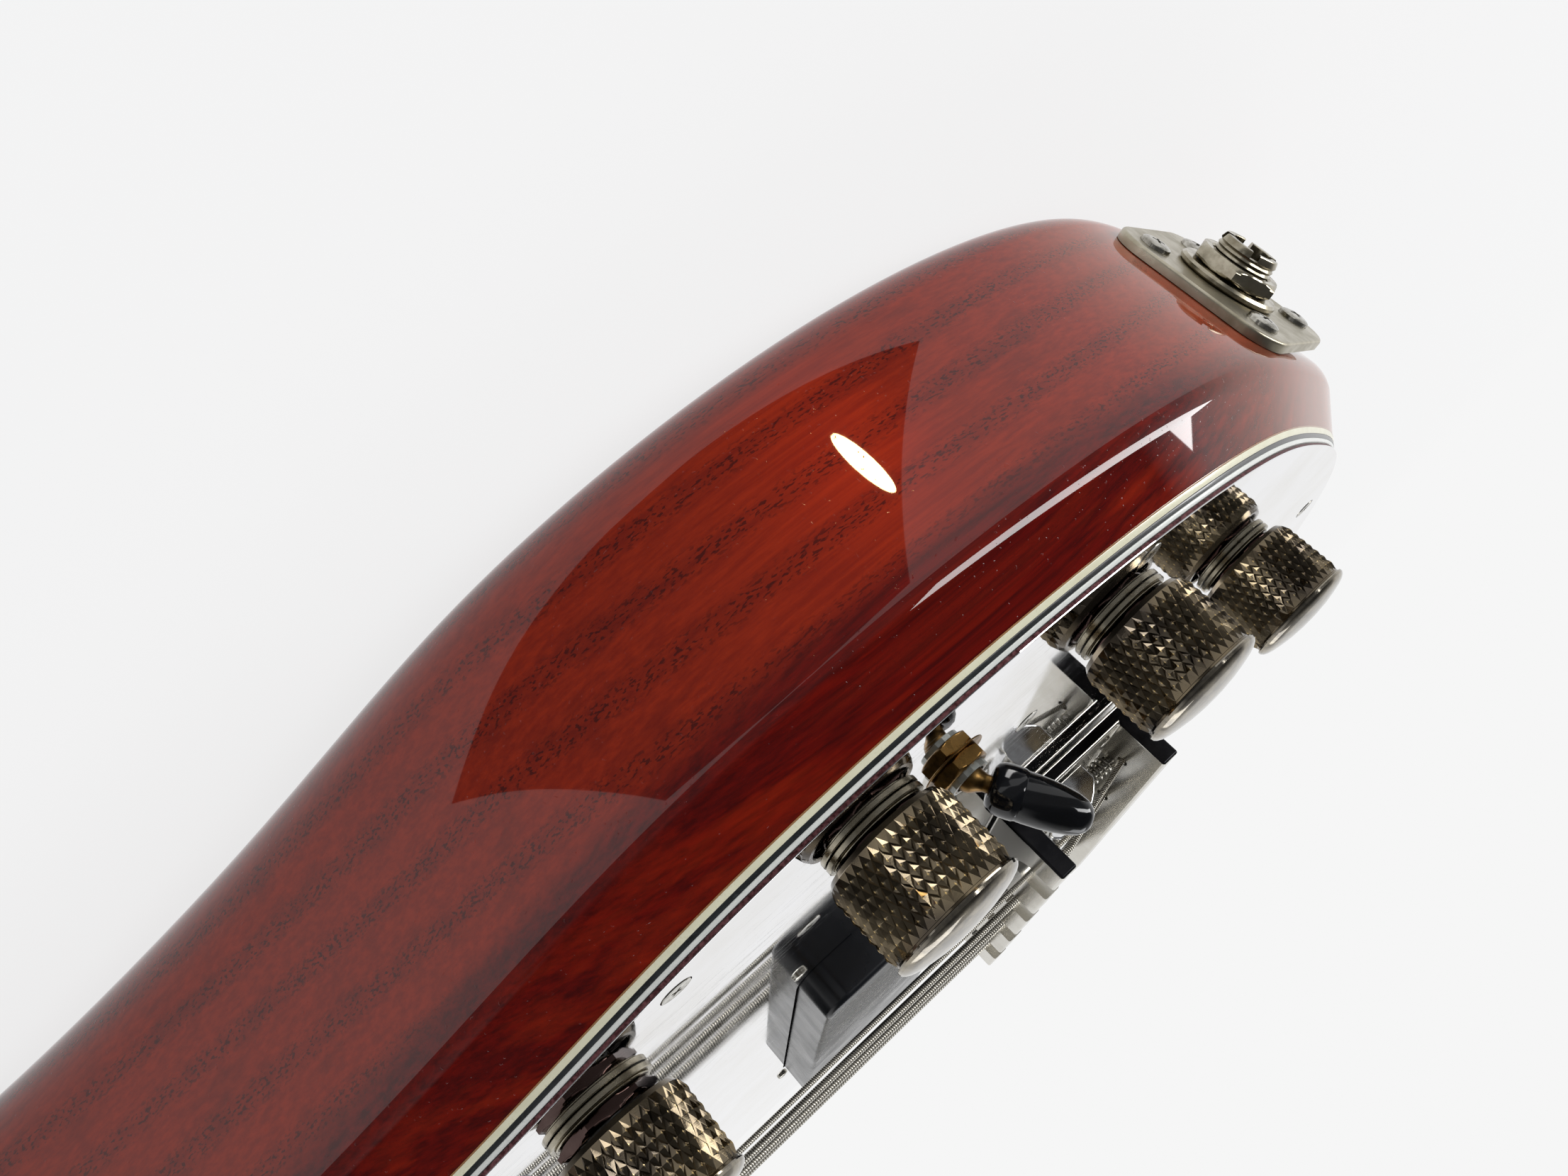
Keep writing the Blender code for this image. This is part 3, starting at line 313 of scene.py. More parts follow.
def woundSteel(name, pitch):
    # Nickel-plated steel wire wound on a core: round wraps across the string, with painted shade in the grooves
    # between them.
    made, tree = newMaterial(name)
    wraps = addNode(tree, "UVMap", take="UV", uv_map="wraps")
    axes = addNode(tree, "SeparateXYZ", {0: wraps})
    # V runs along the string in metres, U once round it, so the wraps climb by one pitch a turn
    turns = sums(tree, 'MULTIPLY_ADD', axes.outputs["Y"], 1000.0 / pitch, axes.outputs["X"])
    wave = sums(tree, 'SINE', sums(tree, 'MULTIPLY', turns, math.tau))
    # the grooves between wraps are painted darker and the crests lighter: painted shade
    wrapPaintedShade = ramp(tree, wave, -1.0, 0.6)
    base = blend(tree, wrapPaintedShade, "6E685C", "D6D2C8")
    lie = relief(tree, wave, pitch * 0.2 * mm, 0.8)
    return principled(made, {"Base Color": base, "Metallic": 1.0, "Roughness": 0.26, "Normal": lie})


looks = {
    "lacquer": lacqueredAsh(),
    "ivory": celluloid("ivory_celluloid", "E2DFC4", "CFC9A6"),
    "blackPly": celluloid("black_celluloid", "0F1214", "3C4244", 0.35),
    "whitePly": celluloid("white_celluloid", "E0E2DC", "C9CCC6"),
    "bareEdge": celluloid("bare_ash_edge_under_lacquer", "A0734A", "6E4026", 0.25),
    "mirror": polishedSteel(),
    # the sheet's sawn edge is painted dark maroon with specks: a painted reflection of the red lacquer beside it
    "plateEdgeRedReflection": platedMetal("steel_edge_painted_red_reflection", "36090E", "7E5054", 0.4, 0.6, 0.5, 0.04, 0.6),
    "knurl": knurledNickel("black_nickel_plated_brass_knurled", "4E473E", "83765F", 0.1, 0.18),
    # the tips of the diamonds, rubbed down to the brass, and painted bright gold as a painted glint as well
    "knurlTipsWornAndGlinting": knurledNickel("worn_knurl_tips_brass_and_painted_glint", "9A8A6A", "D2B47A", 0.16, 0.26),
    "knobRim": platedMetal("polished_black_nickel_rim", "7C776F", "A39B8B", 0.05, 0.16, 2.0),
    "nickel": platedMetal("nickel_plated_brass", "B3AC9A", "857D6B", 0.14, 0.3),
    "darkNickel": platedMetal("polished_black_nickel_nut", "584743", "40302D", 0.05, 0.12, 8.0),
    "satinNickel": platedMetal("satin_nickel_plate", "B9B2A0", "9A937F", 0.24, 0.42, 5.0, 0.008),
    "brass": platedMetal("aged_brass", "8A6A3C", "4A3A22", 0.24, 0.45, 2.5, 0.01),
    "chrome": platedMetal("chromium_plated_steel", "D6D7D9", "C4C4C5", 0.05, 0.12),
    "zinc": platedMetal("zinc_plated_steel_can", "AEB0AC", "8A8D88", 0.3, 0.5, 3.0, 0.01),
    # painted black for the bridge's wall ends: a painted dark reflection and shade
    "casting": platedMetal("zinc_casting_painted_dark_reflection", "1A1A1C", "2C2C2E", 0.14, 0.26, 7.0, 0.01),
    "brightCasting": platedMetal("nickel_plated_zinc_casting", "D2CFC7", "C4C0B6", 0.16, 0.26, 14.0, 0.01),
    "sleeve": mouldedPlastic("glossy_black_abs_sleeve", "050608", "0B0D12", 0.08, 0.002),
    "pickup": mouldedPlastic("black_abs_pickup_shell", "06080D", "0D1017", 0.26, 0.006),
    "cover": mouldedPlastic("textured_black_abs_cover", "0E0E10", "1A1A1C", 0.4, 0.03, 0.7),
    "felt": mouldedPlastic("black_wool_felt", "0C0C0D", "1E1E1F", 0.75, 0.2, 0.5),
    "bone": mouldedPlastic("polished_bone", "E4DCC6", "CFC3A4", 0.3, 0.006, 1.2),
    "pearl": mouldedPlastic("white_side_dot_plastic", "E4E2DA", "D2CFC3", 0.3),
    "maple": oiledMaple(),
    "ebony": oiledEbony(),
    "screw": platedMetal("nickel_plated_steel_screw", "C2BFB6", "87837A", 0.12, 0.28, 1.2),
    "brassBall": platedMetal("turned_brass_ball_end", "B9994F", "8E7440", 0.18, 0.35, 1.5),
    "stringG": woundSteel("nickel_wound_steel_g", 0.42),
    "stringD": woundSteel("nickel_wound_steel_d", 0.5),
    "stringA": woundSteel("nickel_wound_steel_a", 0.56),
    "stringE": woundSteel("nickel_wound_steel_e", 0.62),
}
print("materials made:", len(looks))


def selectNone():
    if bpy.context.mode != 'OBJECT':
        bpy.ops.object.mode_set(mode='OBJECT')
    bpy.ops.object.select_all(action='DESELECT')


def pickOnly(piece):
    selectNone()
    piece.select_set(True)
    bpy.context.view_layer.objects.active = piece


def openMesh(piece):
    # edit mode on one piece alone
    pickOnly(piece)
    bpy.ops.object.mode_set(mode='EDIT')
    return bmesh.from_edit_mesh(piece.data)


def choose(piece, kind, test):
    # selects the faces or edges whose place (mm) and direction pass the test
    bpy.ops.mesh.select_mode(type=kind)
    bpy.ops.mesh.select_all(action='DESELECT')
    mesh = bmesh.from_edit_mesh(piece.data)
    if kind == 'FACE':
        found = [f for f in mesh.faces if test(f.calc_center_median() / mm, f.normal)]
    else:
        found = [e for e in mesh.edges
                 if test((e.verts[0].co + e.verts[1].co) / 2.0 / mm, (e.verts[1].co - e.verts[0].co) / mm)]
    for part in found:
        part.select_set(True)
    bmesh.update_edit_mesh(piece.data)


def primitive(name, shape, **settings):
    # a primitive with nothing else selected; sizes in metres
    selectNone()
    getattr(bpy.ops.mesh, "primitive_%s_add" % shape)(**settings)
    piece = bpy.context.active_object
    piece.name = piece.data.name = name
    return piece


def settle(piece, place=None):
    # puts the object's place into its mesh
    if place is not None:
        piece.matrix_world = place @ piece.matrix_world
    pickOnly(piece)
    bpy.ops.object.transform_apply(location=True, rotation=True, scale=True)
    return piece


def facesOut(piece):
    openMesh(piece)
    bpy.ops.mesh.select_all(action='SELECT')
    bpy.ops.mesh.remove_doubles(threshold=1e-6)
    bpy.ops.mesh.normals_make_consistent(inside=False)
    bpy.ops.object.mode_set(mode='OBJECT')
    return piece


def skin(name, rings, hoop=False):
    # a circle, extruded ring by ring; a hoop is open in the middle and closes on its first ring
    piece = primitive(name, "circle", vertices=len(rings[0]), radius=0.01,
                      fill_type='NOTHING' if hoop else 'NGON')
    openMesh(piece)
    bpy.ops.mesh.select_mode(type='VERT')
    bpy.ops.mesh.select_all(action='SELECT')
    mesh = bmesh.from_edit_mesh(piece.data)
    order = mesh.verts.layers.int.new("order")
    for number, vert in enumerate(mesh.verts):
        vert[order] = number
    for step, ring in enumerate(rings):
        if step:
            bpy.ops.mesh.extrude_region_move()
            mesh = bmesh.from_edit_mesh(piece.data)
            order = mesh.verts.layers.int["order"]
        for vert in mesh.verts:
            if vert.select:
                vert.co = Vector(ring[vert[order]]) * mm
        bmesh.update_edit_mesh(piece.data)
    if hoop:
        bpy.ops.mesh.select_mode(type='EDGE')
        bpy.ops.mesh.select_all(action='DESELECT')
        mesh = bmesh.from_edit_mesh(piece.data)
        for edge in mesh.edges:
            edge.select_set(edge.is_boundary)
        bpy.ops.mesh.bridge_edge_loops()
        bpy.ops.mesh.select_mode(type='VERT')
    bpy.ops.object.mode_set(mode='OBJECT')
    piece.data.attributes.remove(piece.data.attributes["order"])
    return facesOut(piece)


def lathe(name, profile, sides, hoop=False):
    # rings of (radius, height); a full profile ends in small flats, a hoop has a hole
    rings = []
    for radius, height in profile:
        rings.append([(radius * math.cos(math.tau * k / sides),
                       radius * math.sin(math.tau * k / sides), height) for k in range(sides)])
    return skin(name, rings, hoop)


def modify(piece, kind, **settings):
    step = piece.modifiers.new(kind.title(), kind)
    for name, value in settings.items():
        setattr(step, name, value)
    pickOnly(piece)
    bpy.ops.object.modifier_apply(modifier=step.name)
    return piece


def carve(piece, *cutters, how='DIFFERENCE'):
    for cutter in cutters:
        modify(piece, 'BOOLEAN', operation=how, solver='EXACT', object=cutter)
        bpy.data.objects.remove(cutter, do_unlink=True)
    return piece


def twin(piece, name):
    # a copy with its own mesh
    copy = piece.copy()
    copy.data = piece.data.copy()
    copy.name = copy.data.name = name
    scene.collection.objects.link(copy)
    return copy


def merge(name, parts):
    # several parts of one piece in one mesh
    selectNone()
    for part in parts:
        part.select_set(True)
    bpy.context.view_layer.objects.active = parts[0]
    if len(parts) > 1:
        bpy.ops.object.join()
    whole = bpy.context.active_object
    whole.name = whole.data.name = name
    return whole


def paint(piece, *names):
    for name in names:
        piece.data.materials.append(looks[name])
    return piece


def paintWhere(piece, number, test):
    # gives faces another of the piece's materials
    for face in piece.data.polygons:
        if test(Vector(face.center) / mm, Vector(face.normal)):
            face.material_index = number


def finishPiece(piece, body, replaced=(), smooth=35.0):
    pickOnly(piece)
    bpy.ops.object.shade_smooth_by_angle(angle=math.radians(smooth))
    # flat faces keep their own direction, so that polished ones mirror without fans
    modify(piece, 'WEIGHTED_NORMAL', mode='FACE_AREA', weight=100, keep_sharp=True)
    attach(piece, body)
    if replaced:
        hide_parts(*replaced)
    return piece


def standing(spot, up=(0.0, 0.0, 1.0), ahead=None):
    # a place whose Z runs along up; spot in millimetres
    up = Vector(up).normalized()
    if ahead is None:
        ahead = Vector((1.0, 0.0, 0.0)) if abs(up.x) < 0.9 else Vector((0.0, 1.0, 0.0))
    side = up.cross(Vector(ahead)).normalized()
    turn = Matrix((side.cross(up), side, up)).transposed().to_4x4()
    return Matrix.Translation(Vector(spot) * mm) @ turn


# the body's outline is the same curve as the solid's
bodyShape = {
    "coreTop": 47.8, "shoulder": 46.1, "backRound": 12.0, "tailRound": 6.0, "roundFrom": -30.0,
    "roundTo": 110.0, "sideRound": 5.0, "bevelRun": 7.0, "bevelDrop": 7.5, "coreInset": 9.5,
    "points": 480, "boutCentre": (42.0, -22.6), "boutRadius": 129.0,
    "treble": [(-88.5, 0), (-86.5, -28), (-78.5, -67), (-62, -98), (-44, -117), (-23, -134)],
    "trebleArc": (-15.0, 4.0, 20.0, 35.0),
    "trebleHorn": [(135, -119.5), (155, -112.6), (185, -108), (215, -110.5), (250, -118), (280, -120),
                   (306, -114), (324, -98), (322, -77), (303, -64), (281, -53), (268, -38)],
    "bass": [(270, -15), (283, 15), (296, 40), (322, 59), (352, 68), (382, 77), (398, 92), (395, 112),
             (376, 123), (345, 128), (300, 131), (250, 125), (205, 116), (165, 118.5), (115, 136),
             (60, 151), (5, 149), (-42, 124), (-73, 83), (-86, 38)],
}


def boutPoint(angle, radius):
    # round the treble bout, angle in degrees from -Y towards the neck
    turn = math.radians(angle)
    centre = bodyShape["boutCentre"]
    return centre[0] + radius * math.sin(turn), centre[1] - radius * math.cos(turn)


def smoothLoop(points, count):
    # a closed cubic spline through the points, sampled more closely where it bends
    knots = np.array(points, float)
    number = len(knots)
    after = np.roll(knots, -1, axis=0)
    gap = np.linalg.norm(after - knots, axis=1)
    beforeGap = np.roll(gap, 1)
    slope = (after - knots) / gap[:, None]
    system = np.zeros((number, number))
    for i in range(number):
        system[i, i - 1] += beforeGap[i]
        system[i, i] += 2.0 * (beforeGap[i] + gap[i])
        system[i, (i + 1) % number] += gap[i]
    second = np.linalg.solve(system, 6.0 * (slope - np.roll(slope, 1, axis=0)))
    dense = []
    for i in range(number):
        j = (i + 1) % number
        h = gap[i]
        for t in np.linspace(0.0, h, 40, endpoint=False):
            dense.append(second[i] * (h - t) ** 3 / (6.0 * h) + second[j] * t ** 3 / (6.0 * h)
                         + (knots[i] / h - second[i] * h / 6.0) * (h - t)
                         + (knots[j] / h - second[j] * h / 6.0) * t)
    dense = np.array(dense)
    run = np.roll(dense, -1, axis=0) - dense
    heading = np.unwrap(np.arctan2(run[:, 1], run[:, 0]))
    bend = np.abs(np.roll(heading, -1) - heading)
    bend[-1] = bend[-2]
    travel = np.linalg.norm(run, axis=1)
    weight = travel / 30.0 + bend / math.radians(7.0)
    total = np.concatenate(([0.0], np.cumsum(weight)))
    wanted = np.linspace(0.0, total[-1], count, endpoint=False)
    closed = np.vstack((dense, dense[:1]))
    return np.column_stack([np.interp(wanted, total, closed[:, k]) for k in (0, 1)])


def bodyOutline():
    shape = bodyShape
    arc = [boutPoint(angle, shape["boutRadius"]) for angle in shape["trebleArc"]]
    return smoothLoop(shape["treble"] + arc + shape["trebleHorn"] + shape["bass"], shape["points"])


def inward(loop, distance):
    # moves a counterclockwise loop inwards by one distance, or one for each point
    before = loop - np.roll(loop, 1, axis=0)
    after = np.roll(loop, -1, axis=0) - loop
    before /= np.linalg.norm(before, axis=1)[:, None]
    after /= np.linalg.norm(after, axis=1)[:, None]
    normal = np.column_stack((-before[:, 1] - after[:, 1], before[:, 0] + after[:, 0]))
    normal /= np.linalg.norm(normal, axis=1)[:, None]
    stretch = np.maximum(0.5, -normal[:, 0] * before[:, 1] + normal[:, 1] * before[:, 0])
    return loop + normal * (np.broadcast_to(distance, len(loop)) / stretch)[:, None]


def atHeight(loop, height):
    heights = np.broadcast_to(height, len(loop))
    return [(float(x), float(y), float(z)) for (x, y), z in zip(loop, heights)]


outline = bodyOutline()
plateTop = 48.5
print("outline:", len(outline), "points")


pocket = {"boardStart": 212.0, "heelEnd": 292.0, "low": 30.0, "fit": 0.3}
neckShape = {"scale": 864.0, "spreadBridge": 57.0, "spreadNut": 31.0, "margin": 5.2, "top": 50.1,
             "heelDepth": 19.8, "nutDepth": 15.5, "shaftStart": 335.0, "nutThickness": 5.0,
             "headTilt": 5.0, "headDrop": 1.1, "headThickness": 14.0, "headLength": 176.0}
knobPlaces = ((-49.3, 33.3), (-17.5, 29.5), (9.6, 27.5), (36.6, 27.8))
cavity = {"outer": 111.0, "inner": 82.0, "angles": (-56.0, 44.0), "lip": 4.0, "cover": 2.0}
pickups = {"fronts": (67.5, 154.0), "length": 113.0, "width": 36.0, "corner": 5.0, "rise": 7.5,
           "height": 24.0, "fit": 0.5, "edge": 1.1, "screwSide": 64.6}
holes = {"pot": 4.9, "toggle": 3.3}


def knobSpot(number):
    angle, depth = knobPlaces[number]
    x, y = boutPoint(angle, bodyShape["boutRadius"] - depth)
    return Vector((x, y, 0.0))


toggleSpot = knobSpot(2) + Vector((-14.927, 5.28, 0.0))


def neckHalf(x):
    share = x / neckShape["scale"]
    spread = neckShape["spreadBridge"] + (neckShape["spreadNut"] - neckShape["spreadBridge"]) * share
    return spread / 2.0 + neckShape["margin"]


def prism(name, loop, low, high):
    return skin(name, [[(x, y, low) for x, y in loop], [(x, y, high) for x, y in loop]])


def neckSpace(name):
    start, end = pocket["boardStart"] - pocket["fit"], pocket["heelEnd"] + 40.0
    loop = [(start, -neckHalf(start) - 0.3), (end, -neckHalf(end) - 0.3),
            (end, neckHalf(end) + 0.3), (start, neckHalf(start) + 0.3)]
    return prism(name, loop, pocket["low"], 70.0)


def roundedLoop(length, width, corner, steps=6):
    loop = []
    for number, (sx, sy) in enumerate(((1, 1), (-1, 1), (-1, -1), (1, -1))):
        for k in range(steps + 1):
            angle = math.pi / 2.0 * (number + k / steps)
            loop.append((sx * (length / 2.0 - corner) + corner * math.cos(angle),
                         sy * (width / 2.0 - corner) + corner * math.sin(angle)))
    return loop


def pickupLoop(front, grow=0.0):
    box = pickups
    loop = roundedLoop(box["width"] + 2 * grow, box["length"] + 2 * grow, box["corner"] + grow)
    return [(x + front - box["width"] / 2.0, y) for x, y in loop]


def coverLoop(grow, steps=40):
    # the curved strip over the control cavity, with round ends
    middle = (cavity["outer"] + cavity["inner"]) / 2.0
    half = (cavity["outer"] - cavity["inner"]) / 2.0 + grow
    first, last = cavity["angles"]
    loop = []
    for start, end, radius in ((first, last, middle + half), (last, first, middle - half)):
        loop += [boutPoint(start + (end - start) * k / steps, radius) for k in range(steps + 1)]
        turn = math.radians(end) - (math.pi / 2.0 if end == last else -math.pi / 2.0)
        cx, cy = boutPoint(end, middle)
        loop += [(cx + half * math.cos(turn + math.pi * k / 16), cy + half * math.sin(turn + math.pi * k / 16))
                 for k in range(1, 16)]
    return loop


def drill(name, spot, radius, low, high, sides=32):
    return primitive(name, "cylinder", vertices=sides, radius=radius * mm, depth=(high - low) * mm,
                     location=(spot[0] * mm, spot[1] * mm, (low + high) / 2.0 * mm))


jackShape = {"height": 23.2, "angle": 36.0, "along": -42.2, "size": 30.0, "corner": 6.0, "thick": 1.6,
             "bushing": 4.7, "rise": 8.0, "barrel": 6.2}


def jackPlace():
    turn = math.radians(jackShape["angle"])
    outward = Vector((-math.sin(turn), -math.cos(turn), 0.0))
    along = Vector((-math.cos(turn), math.sin(turn), 0.0))
    # the plate's inner face is where the solid's is
    corners = [v.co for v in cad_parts["jack_plate"].data.vertices]
    reach = min(corner.dot(outward) for corner in corners) / mm
    return standing(outward * reach + along * jackShape["along"] + Vector((0, 0, jackShape["height"])),
                    outward, (0.0, 0.0, 1.0))


def strapPlaces():
    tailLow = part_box("strap_button_tail")
    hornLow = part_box("strap_button_horn")
    tail = (tailLow[0] + tailLow[1]) / 2.0 / mm
    horn = (hornLow[0] + hornLow[1]) / 2.0 / mm
    return {"tail": standing((-88.5, tail.y, tail.z), (-1.0, 0.0, 0.0)),
            "horn": standing((hornLow[1].x / mm - 13.0, horn.y, horn.z), (1.0, 0.0, 0.0))}


def makeBody():
    shape = bodyShape
    share = np.clip((outline[:, 0] - shape["roundFrom"]) / (shape["roundTo"] - shape["roundFrom"]), 0.0, 1.0)
    radius = shape["tailRound"] + (shape["backRound"] - shape["tailRound"]) * share ** 2 * (3.0 - 2.0 * share)
    rings = [atHeight(inward(outline, radius + 0.6), 0.0)]
    for k in range(13):
        turn = math.pi / 2.0 * k / 12
        rings.append(atHeight(inward(outline, radius * (1.0 - math.sin(turn))),
                              radius * (1.0 - math.cos(turn))))
    rings.append(atHeight(outline, 24.0))
    slope = math.atan2(shape["bevelRun"], shape["bevelDrop"])
    foot = shape["shoulder"] - shape["bevelDrop"] - 1.5
    for k in range(9):
        turn = slope * k / 8
        rings.append(atHeight(inward(outline, shape["sideRound"] * (1.0 - math.cos(turn))),
                              foot + shape["sideRound"] * math.sin(turn)))
    rings.append(atHeight(inward(outline, shape["bevelRun"] - 0.35), shape["shoulder"] - 0.32))
    rings.append(atHeight(inward(outline, shape["bevelRun"]), shape["shoulder"]))
    rings.append(atHeight(inward(outline, shape["coreInset"]), shape["shoulder"]))
    rings.append(atHeight(inward(outline, shape["coreInset"]), shape["coreTop"]))
    body = skin("body_shell", rings)
    floor = plateTop + pickups["rise"] - pickups["height"] - 0.3
    cutters = [neckSpace("neckCut")]
    cutters += [prism("pickupCut", pickupLoop(front, pickups["fit"]), floor, 70.0) for front in pickups["fronts"]]
    cutters += [prism("cavityCut", coverLoop(0.0), -5.0, 44.0),
                prism("seatCut", coverLoop(cavity["lip"] + 0.3), -5.0, cavity["cover"] + 0.3)]
    cutters += [drill("potCut", knobSpot(n), holes["pot"], 30.0, 70.0) for n in range(4)]
    cutters.append(drill("toggleCut", toggleSpot, holes["toggle"], 30.0, 70.0))
    well = primitive("jackCut", "cylinder", vertices=40, radius=6.5 * mm, depth=60.0 * mm,
                     location=(0.0, 0.0, -18.0 * mm))
    cutters.append(settle(well, jackPlace()))
    for place in strapPlaces().values():
        hole = primitive("strapCut", "cylinder", vertices=20, radius=2.2 * mm, depth=30.0 * mm,
                         location=(0.0, 0.0, -7.0 * mm))
        cutters.append(settle(hole, place))
    carve(body, *cutters)
    paint(body, "lacquer")
    finishPiece(body, "instrument", ("body",), 30.0)


# each ply: its name, look, and how far its two faces are from the body's edge
bindingPlies = {"low": 46.2, "top": 47.8, "crown": 0.04,
                "plies": (("binding_ivory_ply", "ivory", 7.0, 7.64), ("binding_black_ply", "blackPly", 7.66, 8.14),
                          ("binding_white_ply", "whitePly", 8.16, 9.4))}


def makeBinding():
    # three plies bent round the front edge, and the bare line of ash that the scraper left
    low, top, crown = bindingPlies["low"], bindingPlies["top"], bindingPlies["crown"]
    for name, look, outer, inner in bindingPlies["plies"]:
        # the slope runs at 45 degrees from the bevel up to the plate
        edge = min(inner, 8.6)
        outerHigh, edgeHigh = low + outer - 7.0, low + edge - 7.0
        rings = [atHeight(inward(outline, outer), low), atHeight(inward(outline, outer), outerHigh + 0.001),
                 atHeight(inward(outline, outer + 0.05), outerHigh + 0.05 + crown),
                 atHeight(inward(outline, (outer + edge) / 2.0), (outerHigh + edgeHigh) / 2.0 + crown + 0.02),
                 atHeight(inward(outline, edge - 0.05), edgeHigh - 0.05 + crown),
                 atHeight(inward(outline, inner), top if edge < inner else edgeHigh),
                 atHeight(inward(outline, inner), low)]
        strip = skin(name, rings, hoop=True)
        carve(strip, neckSpace("neckCut"))
        paint(strip, look)
        finishPiece(strip, "instrument", ("binding",) if look == "ivory" else (), 30.0)
    line = skin("bare_ash_line", [atHeight(inward(outline, 6.86), 46.04), atHeight(inward(outline, 6.93), 46.14),
                                  atHeight(inward(outline, 7.04), 46.2), atHeight(inward(outline, 7.2), 46.12)],
                hoop=True)
    carve(line, neckSpace("neckCut"))
    paint(line, "bareEdge")
    finishPiece(line, "instrument", (), 30.0)


makeBody()
print("body made")
makeBinding()
print("binding made")


# one screw of each kind is made, and copied
screwKinds = {
    "flat": {"radius": 2.1, "rise": 0.12, "crown": 0.05, "drop": 1.2, "slot": 0.5, "cross": 2.4},
    "oval": {"radius": 2.5, "rise": 0.95, "crown": 0.55, "drop": 1.0, "slot": 0.62, "cross": 3.0},
    "small": {"radius": 1.5, "rise": 0.7, "crown": 0.4, "drop": 0.8, "slot": 0.4, "cross": 1.9},
}


def makeScrew(kind):
    # head with its underside sunk, and a cross recess
    size = screwKinds[kind]
    radius, rise, crown = size["radius"], size["rise"], size["crown"]
    profile = [(radius * 0.55, -size["drop"]), (radius * 0.97, -0.12), (radius, 0.0)]
    for k in range(1, 7):
        share = k / 6.0
        profile.append((radius * math.cos(share * math.pi / 2.2),
                        rise - crown + crown * math.sin(share * math.pi / 2)))
    profile.append((radius * 0.08, rise))
    head = lathe("screw_" + kind, profile, 28)
    cross = primitive("crossBar", "cube", size=1.0)
    cross.scale = (size["cross"] * mm, size["slot"] * mm, 2.0 * mm)
    cross.location.z = (rise + 0.32) * mm
    settle(cross)
    openMesh(cross)
    choose(cross, 'FACE', lambda place, normal: normal.z < -0.5)
    bpy.ops.transform.resize(value=(0.55, 0.7, 1.0))
    bpy.ops.object.mode_set(mode='OBJECT')
    other = twin(cross, "crossBarTurned")
    other.rotation_euler.z = math.pi / 2.0
    settle(other)
    for bar in (cross, other):
        bar.location.z = 0.0
        low = min(v.co.z for v in bar.data.vertices)
        bar.location.z = (rise - 0.75) * mm - low
        settle(bar)
    carve(head, cross, other)
    paint(head, "screw")
    return head


screwModels = {kind: makeScrew(kind) for kind in screwKinds}


def addScrews(name, kind, spots, body, turns=None):
    # spots are places; each screw is turned a little differently, as fitted by hand
    made = []
    for number, place in enumerate(spots):
        screw = twin(screwModels[kind], "%s_%d" % (name, number + 1))
        turn = (number * 37.0 + 13.0) % 90.0 if turns is None else turns[number]
        made.append(settle(screw, place @ Matrix.Rotation(math.radians(turn), 4, 'Z')))
    whole = merge(name, made)
    return finishPiece(whole, body, (), 30.0)


plate = {"inset": 8.7, "low": 47.9, "edge": 0.14, "rimSpacing": 66.0, "rimMargin": 5.5,
         "edgeScrews": ((14.0, -135.7), (88.6, -126.9)), "innerScrews": ((26.2, -102.5), (67.7, -96.6))}


def plateRim(spacing, margin, skip):
    # places for screws along the plate's rim, about one each spacing
    rim = inward(outline, plate["inset"] + margin)
    steps = np.linalg.norm(np.roll(rim, -1, axis=0) - rim, axis=1)
    run = np.concatenate(([0.0], np.cumsum(steps)))
    count = int(run[-1] / spacing)
    spots = []
    for k in range(count):
        x = float(np.interp(run[-1] * k / count, run, np.append(rim[:, 0], rim[0, 0])))
        y = float(np.interp(run[-1] * k / count, run, np.append(rim[:, 1], rim[0, 1])))
        if not skip(x, y):
            spots.append((x, y))
    return spots


def makePlate():
    rim = inward(outline, plate["inset"])
    rings = [atHeight(rim, plate["low"]), atHeight(rim, plateTop - plate["edge"]),
             atHeight(inward(rim, 0.05), plateTop - 0.04), atHeight(inward(rim, plate["edge"]), plateTop)]
    sheet = skin("mirror_plate", rings)
    cutters = [neckSpace("neckCut")]
    cutters += [prism("pickupCut", pickupLoop(front, pickups["fit"]), 40.0, 60.0) for front in pickups["fronts"]]
    cutters += [drill("potCut", knobSpot(n), holes["pot"], 40.0, 60.0) for n in range(4)]
    cutters.append(drill("toggleCut", toggleSpot, holes["toggle"], 40.0, 60.0))
    seen = list(plate["edgeScrews"]) + list(plate["innerScrews"])
    # elsewhere screws follow the rim, clear of the controls that are seen and of the neck
    far = plateRim(plate["rimSpacing"], plate["rimMargin"],
                   lambda x, y: (y < -70.0 and -60.0 < x < 130.0) or (x > 205.0 and abs(y) < 55.0))
    spots = seen + far
    for x, y in spots:
        cutters.append(drill("screwCut", (x, y), screwKinds["flat"]["radius"] + 0.12, 40.0, 60.0, 28))
    carve(sheet, *cutters)
    paint(sheet, "mirror", "plateEdgeRedReflection")
    # the sheet's upright edge gets the painted red reflection
    paintWhere(sheet, 1, lambda place, normal: abs(normal.z) < 0.5 and place.z < plateTop - 0.1)
    finishPiece(sheet, "instrument", ("top_plate",), 25.0)
    addScrews("plate_screws", "flat", [standing((x, y, plateTop)) for x, y in spots], "instrument")
    ends = []
    for front in pickups["fronts"]:
        for side in (-1, 1):
            for x in (front + 0.4, front - pickups["width"] - 0.4):
                ends.append(standing((x, side * pickups["screwSide"], plateTop)))
    addScrews("pickup_ring_screws", "small", ends, "instrument")


makePlate()
print("plate made")


# the grip's diamonds are 2.75 mm long and about 1.4 mm wide
knobShape = {"radius": 9.0, "facet": 0.4, "facetInset": 0.52, "tip": 0.05, "gripLow": 0.7, "rows": 4,
             "pitch": 2.75, "columns": 40, "chamfer": 0.5, "rim": 9.47, "recess": 7.75, "recessDepth": 3.4,
             "lift": (1.9, 1.9, 1.9, 3.5), "turn": (9.0, 71.0, 38.0, 120.0)}


